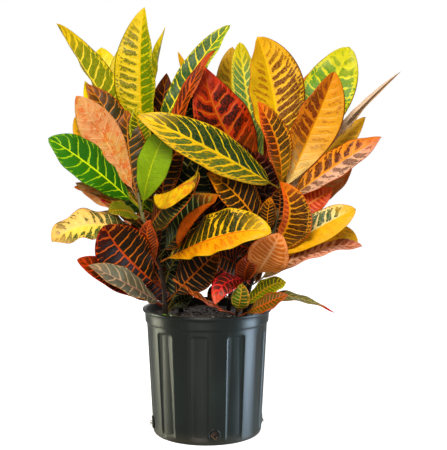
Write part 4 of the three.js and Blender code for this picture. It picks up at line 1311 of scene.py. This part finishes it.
def stem_piece(name, material, chance):
    """A woody stem with a ring at each old leaf scar."""
    bm = bmesh.new()
    scars = [chance.uniform(0.05, 0.97) for _ in range(STEMS[name].scars)]
    bmesh.ops.create_grid(bm, x_segments=STEM_SIDES, y_segments=STEM_RINGS, size=1)
    for vert in bm.verts:
        angle = (vert.co.x + 1) * math.pi
        t = (vert.co.y + 1) / 2
        place = stem_place(name, min(t, 0.9999))
        ahead = stem_place(name, min(t + 0.01, 1.0)) - stem_place(name, max(t - 0.01, 0.0))
        across = ahead.cross(Vector((0, 1, 0))).normalized()
        other = ahead.cross(across).normalized()
        radius = stem_radius(name, t)
        for scar in scars:
            radius += SCAR_HEIGHT * math.exp(-((t - scar) / SCAR_SHARE) ** 2)
        spot = Vector((math.cos(angle) * 1.3, math.sin(angle) * 1.3, t * 24))
        radius += BARK_BUMPS * noise.noise(spot)
        if t in (0.0, 1.0):
            radius = 0
        vert.co = (place + across * (math.cos(angle) * radius) + other * (math.sin(angle) * radius)) * MM
    close_seams(bm, POINTED_END)
    return new_object(name + "_bark", bm, material)


# ---- Small things on the soil and at the drain holes ----

# Place and height of each weed seedling.
SEEDLINGS = ((-70, -78, 20), (-62, -84, 15), (-97, -62, 18), (-50, -90, 12), (88, -70, 13), (20, 84, 16))
STALKS_EACH = 6
ROOTS_EACH = 7
STREWN_RADIUS = 112


def strewn(name, material, chance, count, smallest, largest, flatness):
    """Loose bits lying on the soil, half sunk in."""
    bm = bmesh.new()
    for _ in range(count):
        away = STREWN_RADIUS * math.sqrt(chance.random())
        angle = chance.uniform(0, math.tau)
        x, y = away * math.cos(angle), away * math.sin(angle)
        size = chance.uniform(smallest, largest)
        place = Matrix.Translation(Vector((x, y, SOIL_LEVEL + soil_rise(x, y) + size * 0.2)) * MM)
        turn = Matrix.Rotation(chance.uniform(0, math.tau), 4, "Z")
        tilt = Matrix.Rotation(chance.uniform(-0.5, 0.5), 4, "X")
        shape = Matrix.Diagonal(Vector((size * chance.uniform(1, 1.8), size, size * flatness, 1 / MM)) * MM)
        bmesh.ops.create_icosphere(bm, subdivisions=1, radius=1, matrix=place @ turn @ tilt @ shape)
    return new_object(name, bm, material, flat=True)


def seedling(x, y, tall, material, chance):
    """A weed seedling: thin stalks, each with a small rounded leaf."""
    bm = bmesh.new()
    foot = Vector((x, y, SOIL_LEVEL + soil_rise(x, y) - 2))
    for _ in range(STALKS_EACH):
        lean = Vector((chance.uniform(-0.5, 0.5), chance.uniform(-0.5, 0.5), 1))
        rise = lean * tall * chance.uniform(0.6, 1)
        upright = rise.to_track_quat("Z", "Y").to_matrix().to_4x4()
        middle = Matrix.Translation((foot + rise / 2) * MM)
        bmesh.ops.create_cone(bm, cap_ends=True, segments=6, radius1=0.6 * MM, radius2=0.35 * MM,
                              depth=rise.length * MM, matrix=middle @ upright)
        size = chance.uniform(2.2, 3.4)
        out = Vector((lean.x, lean.y, 0)).normalized() * size
        place = Matrix.Translation((foot + rise + out) * MM)
        turn = Matrix.Rotation(math.atan2(lean.y, lean.x), 4, "Z")
        tilt = Matrix.Rotation(chance.uniform(-0.4, 0.5), 4, "Y")
        shape = Matrix.Diagonal(Vector((size * 1.3, size, 0.45, 1 / MM)) * MM)
        bmesh.ops.create_uvsphere(bm, u_segments=12, v_segments=8, radius=1,
                                  matrix=place @ turn @ tilt @ shape)
    return new_object("weed_seedling", bm, material)


def roots_at_hole(degrees, material, chance):
    """Fine roots that push out of a drain hole and bend down over its rim."""
    bm = bmesh.new()
    for _ in range(ROOTS_EACH):
        start = Vector((chance.uniform(-5, 5), chance.uniform(-6, 3), -2))
        drift = chance.uniform(-6, 6)
        drop = chance.uniform(3, 9)
        thickness = chance.uniform(0.5, 1.0)
        tube = bmesh.ops.create_grid(bm, x_segments=6, y_segments=16, size=1)
        for vert in tube["verts"]:
            angle = (vert.co.x + 1) * math.pi
            t = (vert.co.y + 1) / 2
            bulge = 6 * math.sin(math.pi * min(t * 1.1, 1)) + 1.5
            centre = start + Vector((drift * t ** 1.5, -drop * t * t, bulge))
            radius = 0 if t in (0.0, 1.0) else thickness * (1 - 0.6 * t)
            ring = Vector((math.cos(angle), 0.6 * math.sin(angle), 0.8 * math.sin(angle)))
            vert.co = (centre + ring * radius) * MM
    close_seams(bm)
    wrap_on_wall(bm, degrees, 0)
    return new_object("drain_hole_roots", bm, material)


# ---- Build ----

pattern = leaf_pattern()
for leaf in LEAVES + MORE_LEAVES:
    finish = leaf_material(leaf.name, LOOKS[leaf.look], pattern)
    blade = leaf_piece(leaf, finish, random.Random(leaf.name))
    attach(blade, "root")
    if leaf in LEAVES:
        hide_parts(leaf.name)

plastic = pot_plastic()
pot = pot_piece(plastic)
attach(pot, "root")
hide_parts("nursery_pot")
earth = soil_finish()
for angle in HOLES:
    ring = hole_ring(angle, plastic)
    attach(ring, "root")
    plug = hole_plug(angle, earth)
    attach(plug, "root")
soil = soil_piece(earth)
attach(soil, "root")
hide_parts("potting_soil")
bark = stem_bark()
for stem_name in STEMS:
    stem = stem_piece(stem_name, bark, random.Random(stem_name))
    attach(stem, "root")
    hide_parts(stem_name)

chip_brown = speckled("bark_chip", "1e130b", "4a3420", scale=260, roughness=0.7)
chips = strewn("bark_chips", chip_brown, random.Random(7), count=240, smallest=1.2, largest=3.6, flatness=0.5)
grain_white = speckled("perlite", "a8a498", "dcd8cc", scale=500, roughness=0.7)
grains = strewn(
    "perlite_grains", grain_white, random.Random(11), count=60, smallest=0.8, largest=1.7, flatness=0.9)
weed_green = speckled("weed_leaf", "3c6a12", "86b82c", scale=240, roughness=0.45)
for x, y, tall in SEEDLINGS:
    sprout = seedling(x, y, tall, weed_green, random.Random(x * 7 + y))
    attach(sprout, "root")
for bits in (chips, grains):
    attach(bits, "root")
root_brown = speckled("root_fibre", "3a2818", "7a5c3c", scale=300, roughness=0.6)
for angle in HOLES:
    roots = roots_at_hole(angle, root_brown, random.Random(angle))
    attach(roots, "root")

# ---- Studio: sizes and places in metres ----

FLOOR_HALF = 6
WHITE = (1.0, 1.0, 1.0)
CAMERA_PLACE = (0, -2.0, 0.59)
CAMERA_DOWN_DEGREES = 5.09
CAMERA_RIGHT_DEGREES = 0.93
CAMERA_LENS = 82.4
SENSOR_WIDTH = 36


def studio_floor():
    """A pale floor that looks white to the camera."""
    bm = bmesh.new()
    bmesh.ops.create_grid(bm, x_segments=1, y_segments=1, size=FLOOR_HALF)
    material, g, shader = blank_material("studio_floor")
    shader.inputs["Base Color"].default_value = colour("bcbcba")
    shader.inputs["Roughness"].default_value = 0.9
    shader.inputs["Specular IOR Level"].default_value = 0.1
    shader.inputs["Emission Color"].default_value = (*WHITE, 1.0)
    seen = g.node("ShaderNodeLightPath").outputs["Is Camera Ray"]
    g.feed(shader.inputs["Emission Strength"], g.math("MULTIPLY", seen, 0.92))
    floor = new_object("studio_floor", bm, material)


def studio_world():
    """White to the camera, dim to the plant."""
    world = bpy.data.worlds.new("studio_world")
    bpy.context.scene.world = world
    world.use_nodes = True
    g = Graph(world.node_tree)
    background = next(n for n in world.node_tree.nodes if n.type == "BACKGROUND")
    seen = g.node("ShaderNodeLightPath").outputs["Is Camera Ray"]
    g.feed(background.inputs["Color"], (*WHITE, 1.0))
    g.feed(background.inputs["Strength"], g.value_mix(seen, 0.3, 1.0))


def soft_light(name, place, aim, size, power, tint, spread=180):
    """A flat lamp of that width and height, which the camera doesn't see."""
    data = bpy.data.lights.new(name, "AREA")
    data.shape = "RECTANGLE"
    data.size, data.size_y = size
    data.energy = power
    data.color = tint
    data.spread = math.radians(spread)
    lamp = bpy.data.objects.new(name, data)
    lamp.location = place
    lamp.visible_camera = False
    lamp.rotation_euler = (Vector(aim) - Vector(place)).to_track_quat("-Z", "Y").to_euler()
    bpy.context.scene.collection.objects.link(lamp)


def studio_camera():
    """The plant's best side, seen from a little above."""
    data = bpy.data.cameras.new("camera")
    data.sensor_fit = "HORIZONTAL"
    data.sensor_width = SENSOR_WIDTH
    data.lens = CAMERA_LENS
    camera = bpy.data.objects.new("camera", data)
    camera.location = CAMERA_PLACE
    tilt = math.radians(90 - CAMERA_DOWN_DEGREES)
    camera.rotation_euler = (tilt, 0, math.radians(-CAMERA_RIGHT_DEGREES))
    bpy.context.scene.collection.objects.link(camera)
    bpy.context.scene.camera = camera


studio_floor()
studio_world()
soft_light("key", (-0.4, -1.9, 2.0), aim=(0, 0, 0.5), size=(1.1, 1.1), power=69, tint=(1.0, 0.97, 0.91))
soft_light("right", (1.3, -0.1, 0.1), aim=(0, 0, 0.1), size=(0.9, 0.3), power=3.6,
           tint=(0.62, 0.8, 1.0), spread=40)
soft_light("left", (-1.3, 0.3, 0.1), aim=(0, 0, 0.1), size=(0.8, 0.3), power=1.6,
           tint=(1.0, 1.0, 0.74), spread=40)
soft_light("back", (0.5, 2.1, 1.5), aim=(0, 0, 0.45), size=(1.2, 1.2), power=24, tint=WHITE)
bpy.context.scene.view_settings.view_transform = "Standard"
studio_camera()
